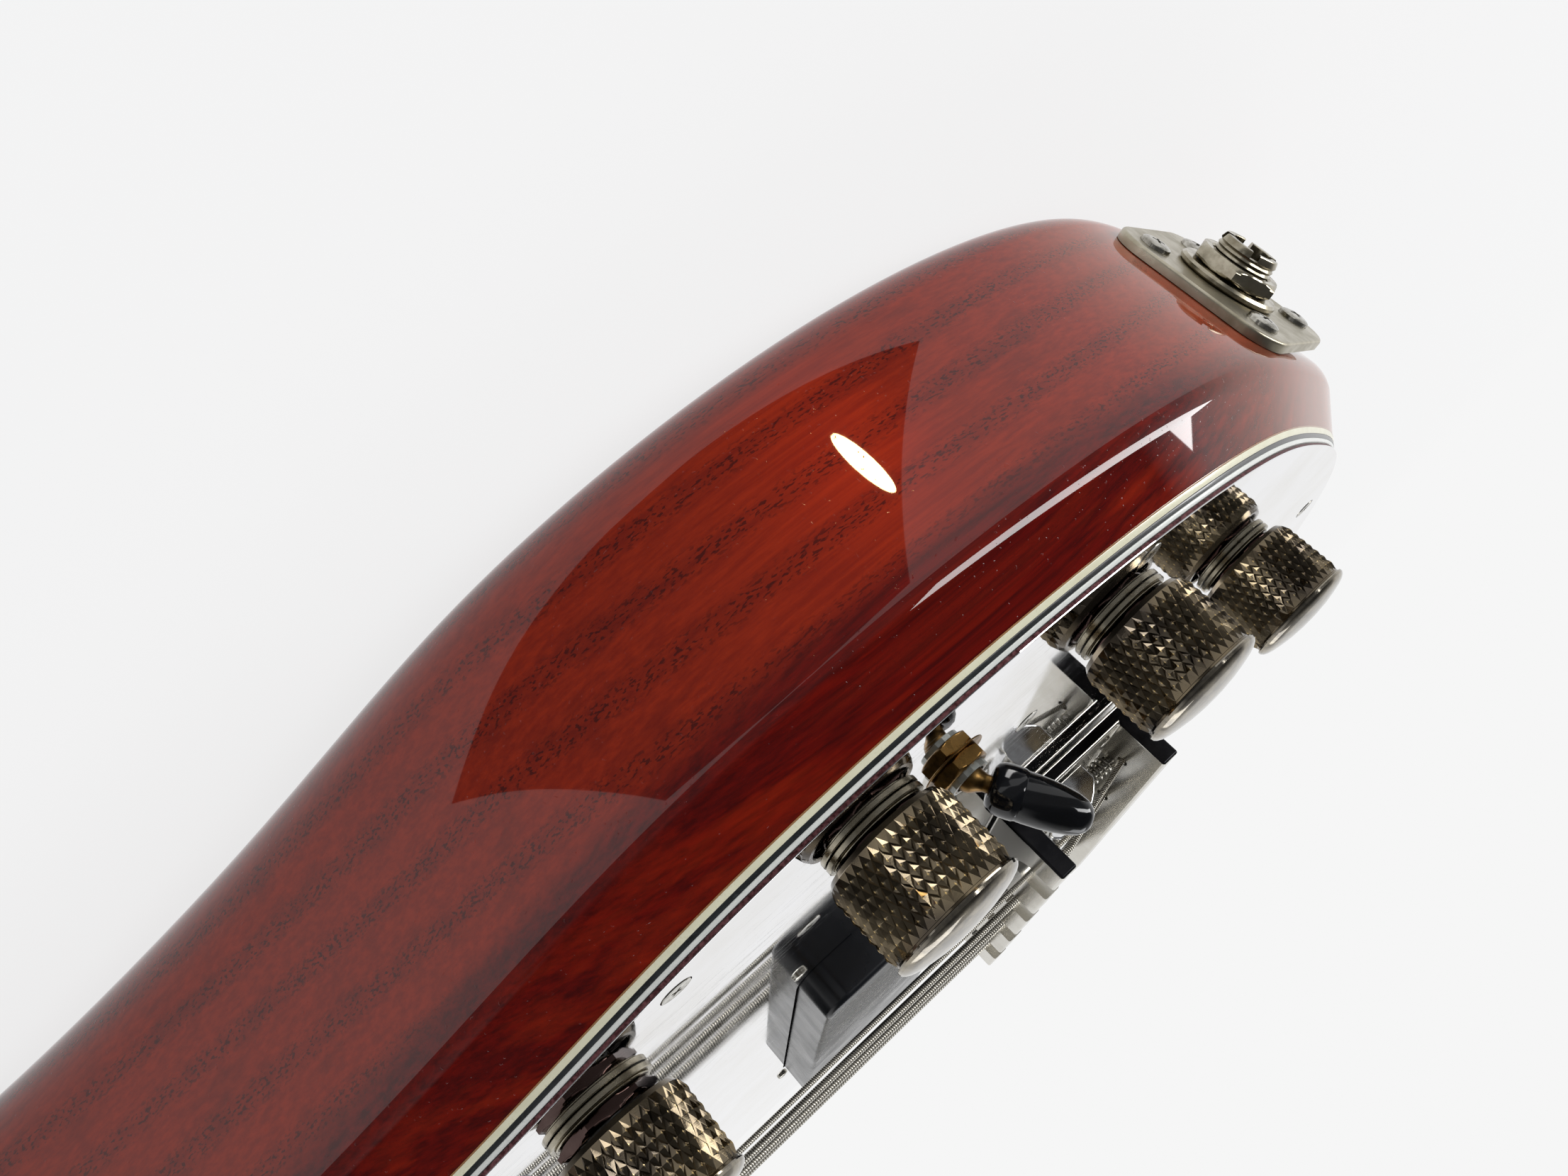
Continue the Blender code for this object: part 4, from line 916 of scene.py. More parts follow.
def makeKnobModel():
    shape = knobShape
    radius, low = shape["radius"], shape["gripLow"]
    high = low + shape["rows"] * shape["pitch"]
    profile = [(3.2, shape["recessDepth"]), (shape["recess"], shape["recessDepth"]), (shape["recess"], 0.15),
               (shape["recess"] + 0.15, 0.0), (radius - shape["chamfer"], 0.0), (radius - 0.1, low - 0.12)]
    profile += [(radius, low + k * shape["pitch"]) for k in range(shape["rows"] + 1)]
    # a narrow turned groove, then the rim rolls over into the dome
    rim = shape["rim"]
    profile += [(rim - 0.4, high + 0.06), (rim - 0.38, high + 0.3), (rim - 0.07, high + 0.4),
                (rim, high + 0.6), (rim - 0.09, high + 0.95), (rim - 0.42, high + 1.3),
                (rim - 1.0, high + 1.62), (rim - 1.9, high + 1.9), (rim - 3.4, high + 2.2),
                (rim - 5.4, high + 2.5), (rim - 7.5, high + 2.66), (0.7, high + 2.7)]
    knob = lathe("knob_model", profile, shape["columns"])
    openMesh(knob)
    # every face of the grip is poked, then the old grid is dissolved and diamonds are left
    choose(knob, 'FACE', lambda place, normal: low < place.z < high and abs(normal.z) < 0.3
                   and math.hypot(place.x, place.y) > radius - 0.2)
    bpy.ops.mesh.poke()
    pitch = shape["pitch"]

    def onGrid(place, run):
        if not (low + 0.01 < place.z < high - 0.01) or math.hypot(place.x, place.y) < radius - 0.2:
            return False
        return abs(abs(run.z) - pitch) < 0.01 or abs(run.z) < 0.001

    choose(knob, 'EDGE', onGrid)
    bpy.ops.mesh.dissolve_edges(use_verts=False)
    bpy.ops.mesh.select_mode(type='FACE')
    bpy.ops.mesh.select_all(action='DESELECT')
    mesh = bmesh.from_edit_mesh(knob.data)
    for face in mesh.faces:
        place = face.calc_center_median() / mm
        heights = [v.co.z / mm for v in face.verts]
        inGrip = low - 0.01 < min(heights) and max(heights) < high + 0.01 and len(heights) == 4
        face.select_set(inGrip and abs(max(heights) - min(heights) - pitch) < 0.01
                        and math.hypot(place.x, place.y) > radius - 0.4)
    bmesh.update_edit_mesh(knob.data)
    # four facets rise from each diamond, and their small top is poked to a point
    bpy.ops.mesh.inset(use_individual=True, thickness=shape["facetInset"] * mm, depth=shape["facet"] * mm)
    bpy.ops.mesh.poke(offset=shape["tip"] * mm)
    bpy.ops.object.mode_set(mode='OBJECT')
    paint(knob, "knurl", "knobRim", "knurlTipsWornAndGlinting")
    tipReach = radius + shape["facet"] * 0.9
    paintWhere(knob, 1, lambda place, normal: place.z > high + 0.31)
    # the diamonds' tips take the worn brass that is also a painted glint
    paintWhere(knob, 2, lambda place, normal: low < place.z < high and math.hypot(place.x, place.y) > tipReach)
    return knob


def threadedPost(name, radius, bore, low, high, pitch=0.7, depth=0.22, sides=32):
    # a bushing whose thread shows as fine ridges
    profile = [(bore, low), (radius - depth, low)]
    z = low + 0.1
    while z + pitch < high - 0.2:
        profile += [(radius - depth, z), (radius, z + pitch * 0.45), (radius, z + pitch * 0.55)]
        z += pitch
    profile += [(radius - depth, high - 0.15), (radius - depth - 0.15, high), (bore + 0.1, high), (bore, high - 0.1)]
    return lathe(name, profile, sides, hoop=True)


def hexNut(name, across, bore, low, high, chamfer=0.35):
    # a hexagon whose corners are turned off by a cone above and below, round a countersunk bore
    flat, corner = across / 2.0, across / math.sqrt(3.0)
    turns = [math.tau * k / 60 for k in range(60)]
    hexagon = [flat / math.cos((turn + math.pi / 6.0) % (math.pi / 3.0) - math.pi / 6.0) for turn in turns]
    steps = [k / 4.0 for k in range(5)]
    levels = [(low + chamfer * 1.6 * s, flat - 0.1 + (corner + 0.1 - flat) * s) for s in steps]
    levels += [(high - chamfer * 1.6 * s, flat - 0.1 + (corner + 0.1 - flat) * s) for s in reversed(steps)]
    rings = [[(bore * math.cos(t), bore * math.sin(t), low + 0.3) for t in turns],
             [((bore + 0.3) * math.cos(t), (bore + 0.3) * math.sin(t), low) for t in turns]]
    for z, cone in levels:
        reach = [min(radius, cone) for radius in hexagon]
        rings.append([(r * math.cos(t), r * math.sin(t), z) for r, t in zip(reach, turns)])
    rings += [[((bore + 0.3) * math.cos(t), (bore + 0.3) * math.sin(t), high) for t in turns],
              [(bore * math.cos(t), bore * math.sin(t), high - 0.3) for t in turns]]
    return skin(name, rings, hoop=True)


def washer(name, outer, bore, low, high, sides=48):
    edge = min(0.12, (high - low) / 3.0)
    return lathe(name, [(bore, low), (outer - edge, low), (outer, low + edge), (outer, high - edge),
                        (outer - edge, high), (bore, high)], sides, hoop=True)


# under each knob: outer size, bore, lower and upper face of what holds the pot
potHardware = {"washer": (7.65, 4.9, 0.0, 0.8), "lockWasher": (7.0, 4.9, 0.82, 1.12),
               "nut": (12.7, 4.75, 1.14, 2.9), "thread": (4.55, 3.2, 1.0, 4.5)}


def makeKnobs():
    model = makeKnobModel()
    for number in range(4):
        spot = knobSpot(number)
        knob = twin(model, "knurled_knob_%d" % (number + 1))
        lift = plateTop + knobShape["lift"][number]
        place = Matrix.Translation((spot + Vector((0, 0, lift))) * mm)
        settle(knob, place @ Matrix.Rotation(math.radians(knobShape["turn"][number]), 4, 'Z'))
        finishPiece(knob, "knob_set_%d" % (number + 1), ("knob_%d" % (number + 1),), 18.0)
        ring = washer("blank", *potHardware["washer"])
        second = washer("blank", *potHardware["lockWasher"])
        collar = hexNut("blank", *potHardware["nut"])
        thread = threadedPost("blank", *potHardware["thread"])
        paint(collar, "darkNickel")
        for part in (ring, second, thread):
            paint(part, "nickel")
        whole = merge("pot_washer_and_nut_%d" % (number + 1), [ring, second, collar, thread])
        turn = Matrix.Rotation(math.radians(11.0 + 17.0 * (number + 1)), 4, 'Z')
        settle(whole, Matrix.Translation((spot + Vector((0, 0, plateTop + 0.1))) * mm) @ turn)
        finishPiece(whole, "instrument", ("pot_nut_%d" % (number + 1),), 30.0)
    bpy.data.objects.remove(model, do_unlink=True)


makeKnobs()
print("knobs made")


toggleShape = {"lean": 28.0, "pivot": 2.6, "bushing": 2.98, "bore": 2.35, "ball": 2.0, "rod": 1.2,
               "sleeveLow": 2.6, "sleeve": 13.4, "sleeveRadius": 3.5, "nut": 7.4, "nutHeight": 2.0}


def makeToggle():
    shape = toggleShape
    foot = Matrix.Translation((toggleSpot + Vector((0, 0, plateTop))) * mm)
    thread = settle(threadedPost("toggle_bushing_thread", shape["bushing"], shape["bore"], -0.4, shape["pivot"] + 0.3,
                                 0.5, 0.16, 28), foot)
    paint(thread, "brass")
    finishPiece(thread, "instrument", (), 30.0)
    nut = hexNut("toggle_hex_nut", shape["nut"], 3.1, 0.1, 0.1 + shape["nutHeight"], 0.25)
    lock = washer("blank", 4.9, 3.2, -0.02, 0.1)
    nut = merge("toggle_hex_nut", [nut, lock])
    settle(nut, foot @ Matrix.Rotation(math.radians(22.0), 4, 'Z'))
    paint(nut, "brass")
    finishPiece(nut, "instrument", ("toggle_nut",), 30.0)
    lean = math.radians(shape["lean"])
    pivot = toggleSpot + Vector((0, 0, plateTop + shape["pivot"]))
    place = standing(pivot, (-math.sin(lean), 0.0, math.cos(lean)))
    ball, rod = shape["ball"], shape["rod"]
    profile = [(ball * math.sin(math.pi * k / 14), -ball * math.cos(math.pi * k / 14)) for k in range(1, 11)]
    profile += [(rod + 0.15, ball * 0.86), (rod, ball * 1.05), (rod, 11.4), (rod - 0.2, 11.6)]
    lever = settle(lathe("toggle_lever_turned", profile, 28), place)
    paint(lever, "brass")
    finishPiece(lever, "toggle_arm", ("toggle_lever",), 40.0)
    low, size, wide = shape["sleeveLow"], shape["sleeve"], shape["sleeveRadius"]
    hole = rod + 0.2
    profile = [(hole, low + 8.0), (hole, low + 0.02), (wide * 0.5, low), (wide * 0.7, low + 0.12),
               (wide * 0.86, low + 0.5), (wide * 0.96, low + 1.2), (wide * 0.995, low + 2.2),
               (wide, low + 3.2), (wide * 0.985, low + 3.9), (wide * 0.95, low + 4.15), (wide * 0.942, low + 4.3),
               (wide * 0.95, low + 5.2), (wide * 0.93, low + 7.2), (wide * 0.88, low + 9.0),
               (wide * 0.79, low + 10.8), (wide * 0.66, low + 12.1), (wide * 0.48, low + 12.9),
               (wide * 0.26, low + 13.32), (wide * 0.06, low + size)]
    sleeve = settle(lathe("toggle_sleeve", profile, 40), place)
    paint(sleeve, "sleeve")
    finishPiece(sleeve, "toggle_arm", ("toggle_tip",), 50.0)


makeToggle()
print("toggle made")


jackScrews = ((-8.9, -9.6), (-10.4, 9.2), (8.6, 10.0), (9.6, -9.4))


def makeJack():
    shape = jackShape
    place = jackPlace()
    loop = np.array(roundedLoop(shape["size"], shape["size"], shape["corner"], 10))
    thick = shape["thick"]
    rings = [atHeight(loop, 0.0)]
    for k in range(6):
        turn = math.pi / 2.0 * k / 5
        rings.append(atHeight(inward(loop, 0.5 * (1.0 - math.cos(turn))), thick - 0.5 + 0.5 * math.sin(turn)))
    plateBody = skin("jack_cover_plate", rings)
    cutters = [primitive("bushingCut", "cylinder", vertices=40, radius=5.0 * mm, depth=10.0 * mm)]
    # the plate's X runs up the side and its Y along the body
    spots = [(up, -along) for along, up in jackScrews]
    for x, y in spots:
        sink = lathe("sinkCut", [(1.0, -1.0), (1.2, 0.2), (screwKinds["oval"]["radius"] + 0.1, thick + 0.02),
                                 (screwKinds["oval"]["radius"] + 0.1, thick + 1.0)], 28)
        settle(sink, Matrix.Translation((x * mm, y * mm, 0.0)))
        cutters.append(sink)
    carve(plateBody, *cutters)
    settle(plateBody, place)
    paint(plateBody, "satinNickel")
    finishPiece(plateBody, "instrument", ("jack_plate",), 30.0)
    addScrews("jack_screws", "oval", [place @ Matrix.Translation((x * mm, y * mm, thick * mm)) for x, y in spots],
              "instrument")
    low = thick + 0.1
    ring = lathe("blank", [(5.0, low), (7.9, low), (8.2, low + 0.3), (8.2, low + 0.75), (7.8, low + 1.15),
                           (6.6, low + 1.2), (5.0, low + 1.2)], 56, hoop=True)
    settle(ring, place)
    paint(ring, "nickel")
    ring.name = ring.data.name = "jack_thick_washer"
    finishPiece(ring, "instrument", ("jack_washer",), 30.0)
    nut = hexNut("jack_hex_nut", 12.7, 4.9, low + 1.3, low + 3.7, 0.4)
    settle(nut, place @ Matrix.Rotation(math.radians(17.0), 4, 'Z'))
    paint(nut, "nickel")
    finishPiece(nut, "instrument", ("jack_nut",), 30.0)
    bushing = threadedPost("jack_threaded_bushing", shape["bushing"], 3.2, 0.6, shape["rise"], 0.75, 0.25, 40)
    notches = []
    for k in range(2):
        notch = primitive("notchCut", "cube", size=1.0)
        notch.scale = (14.0 * mm, 1.3 * mm, 1.8 * mm)
        notch.location.z = (shape["rise"] - 0.1) * mm
        settle(notch)
        settle(notch, Matrix.Rotation(math.radians(30.0 + 90.0 * k), 4, 'Z'))
        notches.append(notch)
    carve(bushing, *notches)
    can = shape["barrel"]
    barrel = lathe("blank", [(3.2, -27.0), (can - 0.2, -27.0), (can, -26.8), (can, -0.3), (4.6, -0.3),
                             (4.6, 0.62), (3.2, 0.62)], 40, hoop=True)
    whole = merge("jack_threaded_bushing", [bushing, barrel])
    settle(whole, place)
    paint(whole, "nickel")
    finishPiece(whole, "instrument", ("jack_socket",), 30.0)
    # the tip spring inside the socket
    spring = primitive("jack_tip_contact", "cube", size=1.0)
    spring.scale = (1.6 * mm, 0.3 * mm, 9.0 * mm)
    spring.location = (0.0, 2.4 * mm, -12.0 * mm)
    settle(spring)
    openMesh(spring)
    bpy.ops.mesh.select_all(action='SELECT')
    bpy.ops.mesh.subdivide(number_cuts=5)
    mesh = bmesh.from_edit_mesh(spring.data)
    for vert in mesh.verts:
        reach = (vert.co.z / mm + 12.0) / 4.5
        vert.co.y -= (1.3 - 1.3 * reach * reach) * 0.8 * mm
    bmesh.update_edit_mesh(spring.data)
    bpy.ops.object.mode_set(mode='OBJECT')
    settle(spring, place)
    paint(spring, "brass")
    finishPiece(spring, "instrument", (), 40.0)


makeJack()
print("jack made")


def makePickups():
    box = pickups
    top = plateTop + box["rise"]
    for front, tag in zip(box["fronts"], ("bridge", "neck")):
        loop = np.array([(x + front - box["width"] / 2.0, y)
                         for x, y in roundedLoop(box["width"], box["length"], box["corner"], 12)])
        rings = [atHeight(inward(loop, 0.3), top - box["height"]), atHeight(loop, top - box["height"] + 0.4)]
        edge = box["edge"]
        for k in range(7):
            turn = math.pi / 2.0 * k / 6
            rings.append(atHeight(inward(loop, edge * (1.0 - math.cos(turn))), top - edge + edge * math.sin(turn)))
        rings.append(atHeight(inward(loop, edge + 0.3), top))
        shell = skin("pickup_shell_" + tag, rings)
        paint(shell, "pickup")
        finishPiece(shell, "instrument", ("pickup_" + tag,), 40.0)


makePickups()
print("pickups made")


stringShape = {"diameters": (1.1, 1.65, 2.15, 2.65), "crown": (0.0, 0.9, 1.3, 1.0), "rise": 11.5,
               "setback": (0.0, 1.5, 3.0, 5.0), "boardRadius": 305.0, "boardTop": 56.2, "clear": 0.7,
               "anchorX": -21.5, "anchorDrop": 4.5, "postRadius": 4.7, "postRise": 16.0, "turns": 2, "gap": 0.45,
               "postNear": 40.0, "postFar": 104.0, "aside": 27.0, "sides": 20}


def stringLine(index):
    shape = stringShape
    share = index / 3.0 - 0.5
    saddle = Vector((-shape["setback"][index], neckShape["spreadBridge"] * share,
                     plateTop + shape["rise"] + shape["crown"][index]))
    side = neckShape["spreadNut"] * share
    rise = shape["boardTop"] - side ** 2 / (2.0 * shape["boardRadius"]) + shape["clear"]
    return saddle, Vector((neckShape["scale"], side, rise + shape["diameters"][index] / 2.0))


def headPlace():
    tilt = math.radians(neckShape["headTilt"])
    origin = Vector((neckShape["scale"] + neckShape["nutThickness"], 0.0, neckShape["top"] - neckShape["headDrop"]))
    return standing(origin, (math.sin(tilt), 0.0, math.cos(tilt)), (math.cos(tilt), 0.0, -math.sin(tilt)))


def postSpot(index):
    shape = stringShape
    return Vector((shape["postNear"] if index in (0, 3) else shape["postFar"],
                   -shape["aside"] if index < 2 else shape["aside"], 0.0))


def stringRoute(index):
    shape = stringShape
    saddle, nut = stringLine(index)
    radius = shape["diameters"][index] / 2.0
    anchor = Vector((shape["anchorX"], saddle.y, saddle.z - shape["anchorDrop"]))
    overNut = nut + (nut - saddle).normalized() * neckShape["nutThickness"]
    route = [anchor, anchor.lerp(saddle, 0.5), saddle.lerp(anchor, 0.08), saddle.lerp(anchor, 0.03),
             saddle + Vector((0, 0, 0.02)), saddle.lerp(nut, 0.001)]
    route += [saddle.lerp(nut, k / 12.0) for k in range(1, 12)]
    route += [saddle.lerp(nut, 0.998), nut, overNut]
    frameOfHead = headPlace()
    local = frameOfHead.inverted() @ (overNut * mm) / mm
    post = postSpot(index)
    wrap = shape["postRadius"] + 0.3 + radius
    inner = 1.0 if post.y < 0.0 else -1.0
    reach = Vector((local.x - post.x, local.y - post.y))
    start = math.atan2(reach.y, reach.x) - inner * math.acos(wrap / reach.length)
    top = shape["postRise"] - 5.0
    pitch = shape["diameters"][index] + shape["gap"]
    steps = 36
    for k in range(shape["turns"] * steps + 1):
        angle = start - inner * math.tau * k / steps
        spot = post + Vector((wrap * math.cos(angle), wrap * math.sin(angle), top - pitch * k / steps))
        route.append(frameOfHead @ (spot * mm) / mm)
    return route


def tubeRings(route, radius, sides):
    # rings square to the route, carried along without twist
    rings, runs, run = [], [], 0.0
    ahead = (route[1] - route[0]).normalized()
    side = ahead.cross(Vector((0.0, 0.0, 1.0))).normalized()
    for number, point in enumerate(route):
        before = route[max(0, number - 1)]
        after = route[min(len(route) - 1, number + 1)]
        fresh = (after - before).normalized()
        side = (side - fresh * side.dot(fresh)).normalized()
        up = side.cross(fresh)
        turns = [math.tau * k / sides for k in range(sides)]
        rings.append([tuple(point + radius * (side * math.cos(turn) + up * math.sin(turn))) for turn in turns])
        run += (point - before).length
        runs.append(run)
    return rings, runs


def layWraps(piece, route, runs):
    # U is the share of a turn round the string, V the length along it in metres
    layer = piece.data.uv_layers.new(name="wraps")
    points = np.array([tuple(p) for p in route])
    coords = [v.co / mm for v in piece.data.vertices]
    nearest = [int(np.argmin(np.sum((points - np.array(tuple(c))) ** 2, axis=1))) for c in coords]
    for face in piece.data.polygons:
        angles = []
        for loop in face.loop_indices:
            vertex = piece.data.loops[loop].vertex_index
            number = nearest[vertex]
            ahead = (route[min(len(route) - 1, number + 1)] - route[max(0, number - 1)]).normalized()
            side = ahead.cross(Vector((0.0, 0.0, 1.0))).normalized()
            up = side.cross(ahead)
            away = coords[vertex] - route[number]
            angles.append(math.atan2(away.dot(up), away.dot(side)) / math.tau)
        if max(angles) - min(angles) > 0.5:
            angles = [a + 1.0 if a < 0.0 else a for a in angles]
        for loop, angle in zip(face.loop_indices, angles):
            number = nearest[piece.data.loops[loop].vertex_index]
            layer.data[loop].uv = (angle, runs[number] * mm)


def makeStrings():
    ballRadius = 2.6
    for index, tag in enumerate(stringTags):
        route = stringRoute(index)
        radius = stringShape["diameters"][index] / 2.0
        rings, runs = tubeRings(route, radius, stringShape["sides"])
        string = skin("string_wound_" + tag, rings)
        layWraps(string, route, runs)
        paint(string, "string" + tag.upper())
        finishPiece(string, "instrument", ("string_" + tag,), 50.0)
        # the brass ball that holds the string behind the bridge
        anchor, inside = route[0], route[2]
        away = (anchor - inside).normalized()
        ball = lathe("string_ball_" + tag, [(0.9, -1.5), (ballRadius - 0.6, -1.6), (ballRadius, -1.2),
                                            (ballRadius - 0.5, -0.5), (ballRadius - 0.5, 0.5), (ballRadius, 1.2),
                                            (ballRadius - 0.6, 1.6), (0.9, 1.5)], 28, hoop=True)
        settle(ball, standing(anchor + away * 2.0, (0.0, 1.0, 0.0)))
        paint(ball, "brassBall")
        finishPiece(ball, "instrument", (), 40.0)


makeStrings()
print("strings made")


bridgeShape = {"width": 80.0, "base": 3.0, "front": (12.0, 16.2), "rear": (-20.0, -15.6), "frontRise": 17.0,
               "rearRise": 15.0, "slot": 7.0, "saddle": 10.0, "saddleWidth": 16.4, "screw": 1.0, "screwSide": 5.2,
               "screwHeight": 2.4, "gateFoot": 8.0,
               "mounts": ((10.52, -34.6), (10.52, 34.6), (-13.2, -34.6), (-13.2, 34.6))}


def makeBridge():
    shape = bridgeShape
    low = plateTop + 0.3
    floor = low + shape["base"]
    rearOut, rearIn = shape["rear"]
    frontIn, frontOut = shape["front"]
    half = shape["width"] / 2.0
    profile = [(rearOut, low), (frontOut, low), (frontOut, plateTop + shape["frontRise"]),
               (frontIn, plateTop + shape["frontRise"]), (frontIn, floor), (rearIn, floor),
               (rearIn, plateTop + shape["rearRise"]), (rearOut, plateTop + shape["rearRise"])]
    bridge = skin("bridge_casting", [[(x, y, z) for x, z in profile] for y in (-half, half)])
    modify(bridge, 'BEVEL', width=0.55 * mm, segments=4, limit_method='ANGLE', angle_limit=math.radians(40.0))
    cutters = []
    for index in range(4):
        saddle, nut = stringLine(index)
        ahead = (nut - saddle) / (nut.x - saddle.x)
        middle = saddle + ahead * (frontIn - saddle.x)
        radius = shape["slot"] / 2.0
        # a round-bottomed gate in the front wall for each string
        gate = [(middle.y - radius, plateTop + 30.0)]
        bottom = plateTop + shape["gateFoot"] + radius
        gate += [(middle.y - radius * math.cos(math.pi * k / 14), bottom - radius * math.sin(math.pi * k / 14))
                 for k in range(15)]
        gate += [(middle.y + radius, plateTop + 30.0)]
        cutters.append(skin("gateCut", [[(x, y, z) for y, z in gate] for x in (frontIn - 3.0, frontOut + 3.0)]))
        anchor = stringRoute(index)[0]
        down = (anchor - saddle).normalized()
        hole = lathe("anchorCut", [(stringShape["diameters"][index] / 2.0 + 0.6, -8.0),
                                   (stringShape["diameters"][index] / 2.0 + 0.6, 8.0)], 24)
        cutters.append(settle(hole, standing(saddle + down * (abs(rearOut - saddle.x) - 2.2), down)))
        bore = lathe("screwCut", [(shape["screw"] + 0.2, -5.0), (shape["screw"] + 0.2, 5.0)], 20)
        cutters.append(settle(bore, standing((rearIn - 2.0, saddle.y + shape["screwSide"],
                                              floor + shape["screwHeight"]), (1, 0, 0))))
    carve(bridge, *cutters)
    paint(bridge, "brightCasting", "casting")
    # the casting is plated bright, and the ends of its walls are painted black: a painted dark reflection and shade
    paintWhere(bridge, 1, lambda place, normal: abs(place.y) > half - 0.3 and place.z > floor + 0.3)
    finishPiece(bridge, "instrument", ("bridge_frame",), 35.0)

    for index, tag in enumerate(stringTags):
        saddle, nut = stringLine(index)
        crown = saddle.z - stringShape["diameters"][index] / 2.0 - 0.3
        halfRun = shape["saddle"] / 2.0
        bottom = floor + 0.3
        outlineOfSaddle = [(-halfRun, bottom), (halfRun, bottom), (halfRun, crown - 3.6), (halfRun * 0.86,
                                                                                           crown - 1.9),
                           (halfRun * 0.55, crown - 0.5), (halfRun * 0.25, crown - 0.08), (0.0, crown),
                           (-0.8, crown - 0.12), (-halfRun * 0.5, crown - 1.2), (-halfRun * 0.8, crown - 2.4),
                           (-halfRun, crown - 3.4)]
        sides = (saddle.y - shape["saddleWidth"] / 2.0, saddle.y + shape["saddleWidth"] / 2.0)
        block = skin("saddle_block_" + tag, [[(saddle.x + x, y, z) for x, z in outlineOfSaddle] for y in sides])
        modify(block, 'BEVEL', width=0.35 * mm, segments=3, limit_method='ANGLE', angle_limit=math.radians(50.0))
        bore = lathe("screwCut", [(shape["screw"] + 0.2, -9.0), (shape["screw"] + 0.2, 9.0)], 20)
        settle(bore, standing((saddle.x, saddle.y + shape["screwSide"], floor + shape["screwHeight"]), (1, 0, 0)))
        groove = lathe("grooveCut", [(stringShape["diameters"][index] / 2.0 + 0.25, -9.0),
                                     (stringShape["diameters"][index] / 2.0 + 0.25, 9.0)], 24)
        settle(groove, standing(saddle, (nut - saddle).normalized()))
        carve(block, bore, groove)
        # grub screw for the saddle's height, with its socket
        top = crown - 0.35
        grub = lathe("blank", [(0.5, top - 2.0), (1.35, top - 2.0), (1.5, top - 1.8), (1.5, top - 0.15),
                               (1.35, top), (0.8, top), (0.7, top - 0.9)], 20)
        settle(grub, Matrix.Translation(((saddle.x + 0.3) * mm, (saddle.y - 5.4) * mm, 0.0)))
        whole = merge("saddle_block_" + tag, [block, grub])
        paint(whole, "chrome")
        finishPiece(whole, "saddle_set_" + tag, ("saddle_" + tag,), 35.0)
        # length screw through the rear wall, with its spring
        axis = standing((rearOut, saddle.y + shape["screwSide"], floor + shape["screwHeight"]), (1, 0, 0))
        profile = [(0.7, -1.75), (1.5, -1.75), (1.95, -1.4), (2.0, -0.1), (1.9, 0.0), (0.98, 0.02)]
        z = 0.3
        while z < 28.0:
            profile += [(0.82, z), (0.98, z + 0.28), (0.98, z + 0.34)]
            z += 0.7
        profile += [(0.7, 28.6), (0.3, 28.7)]
        screw = settle(lathe("saddle_screw_" + tag, profile, 20), axis)
        paint(screw, "screw")
        finishPiece(screw, "instrument", (), 30.0)
        coil = makeSpring("saddle_spring_" + tag, 1.75, 0.28, saddle.x - halfRun - rearIn - 0.3, 7)
        settle(coil, standing((rearIn + 0.15, saddle.y + shape["screwSide"], floor + shape["screwHeight"]), (1,
                                                                                                             0, 0)))
        paint(coil, "screw")
        finishPiece(coil, "instrument", (), 40.0)
    spots = [standing((x, y, floor + 0.02)) for x, y in shape["mounts"]]
    addScrews("bridge_mounting_screws", "small", spots, "instrument")


def makeSpring(name, radius, wire, length, turns):
    # a coil along Z, wound with the screw modifier from one small circle
    coil = primitive(name, "circle", vertices=8, radius=wire * mm, location=(radius * mm, 0.0, wire * mm),
                     rotation=(math.pi / 2.0, 0.0, 0.0), fill_type='NOTHING')
    settle(coil)
    modify(coil, 'SCREW', angle=math.tau * turns, screw_offset=(length - 2.0 * wire) * mm, steps=16 * turns,
           render_steps=16 * turns, iterations=1, use_normal_calculate=True, use_merge_vertices=True)
    openMesh(coil)
    bpy.ops.mesh.select_all(action='SELECT')
    bpy.ops.mesh.fill_holes(sides=0)
    bpy.ops.object.mode_set(mode='OBJECT')
    return facesOut(coil)


makeBridge()
print("bridge made")


def smoothRun(points, steps):
    # an open curve through the points
    ends = [points[0]] + list(points) + [points[-1]]
    run = []
    for before, first, second, after in zip(ends, ends[1:], ends[2:], ends[3:]):
        a, b, c, d = (np.array(p, float) for p in (before, first, second, after))
        for k in range(steps):
            t = k / steps
            run.append(tuple(0.5 * (2 * b + (c - a) * t + (2 * a - 5 * b + 4 * c - d) * t ** 2
                                    + (3 * b - a - 3 * c + d) * t ** 3)))
    return run + [tuple(points[-1])]


def neckRing(x, depth, power, count=28):
    # flat on top with a small rolled edge, from boxy to round below as power falls to 2
    top = neckShape["top"]
    half = neckHalf(min(x, neckShape["scale"]))
    ring = [(x, half - 0.25, top), (x, half, top - 0.25)]
    for k in range(count + 1):
        angle = math.pi * k / count
        side = math.copysign(abs(math.cos(angle)) ** (2.0 / power), math.cos(angle))
        ring.append((x, half * side, top - 0.6 - (depth - 0.6) * abs(math.sin(angle)) ** (2.0 / power)))
    return ring + [(x, -half, top - 0.25), (x, -half + 0.25, top)]


# half of the headstock's edge, from the nut to the tip
headEdge = [(6.0, 22.0), (13.0, 27.9), (20.0, 34.9), (28.0, 39.5), (38.0, 42.3), (52.0, 42.8),
            (86.0, 40.3), (118.0, 38.5), (138.0, 36.3), (152.0, 32.0), (164.0, 25.0), (172.0, 15.5),
            (175.4, 7.0), (176.0, 0.0)]


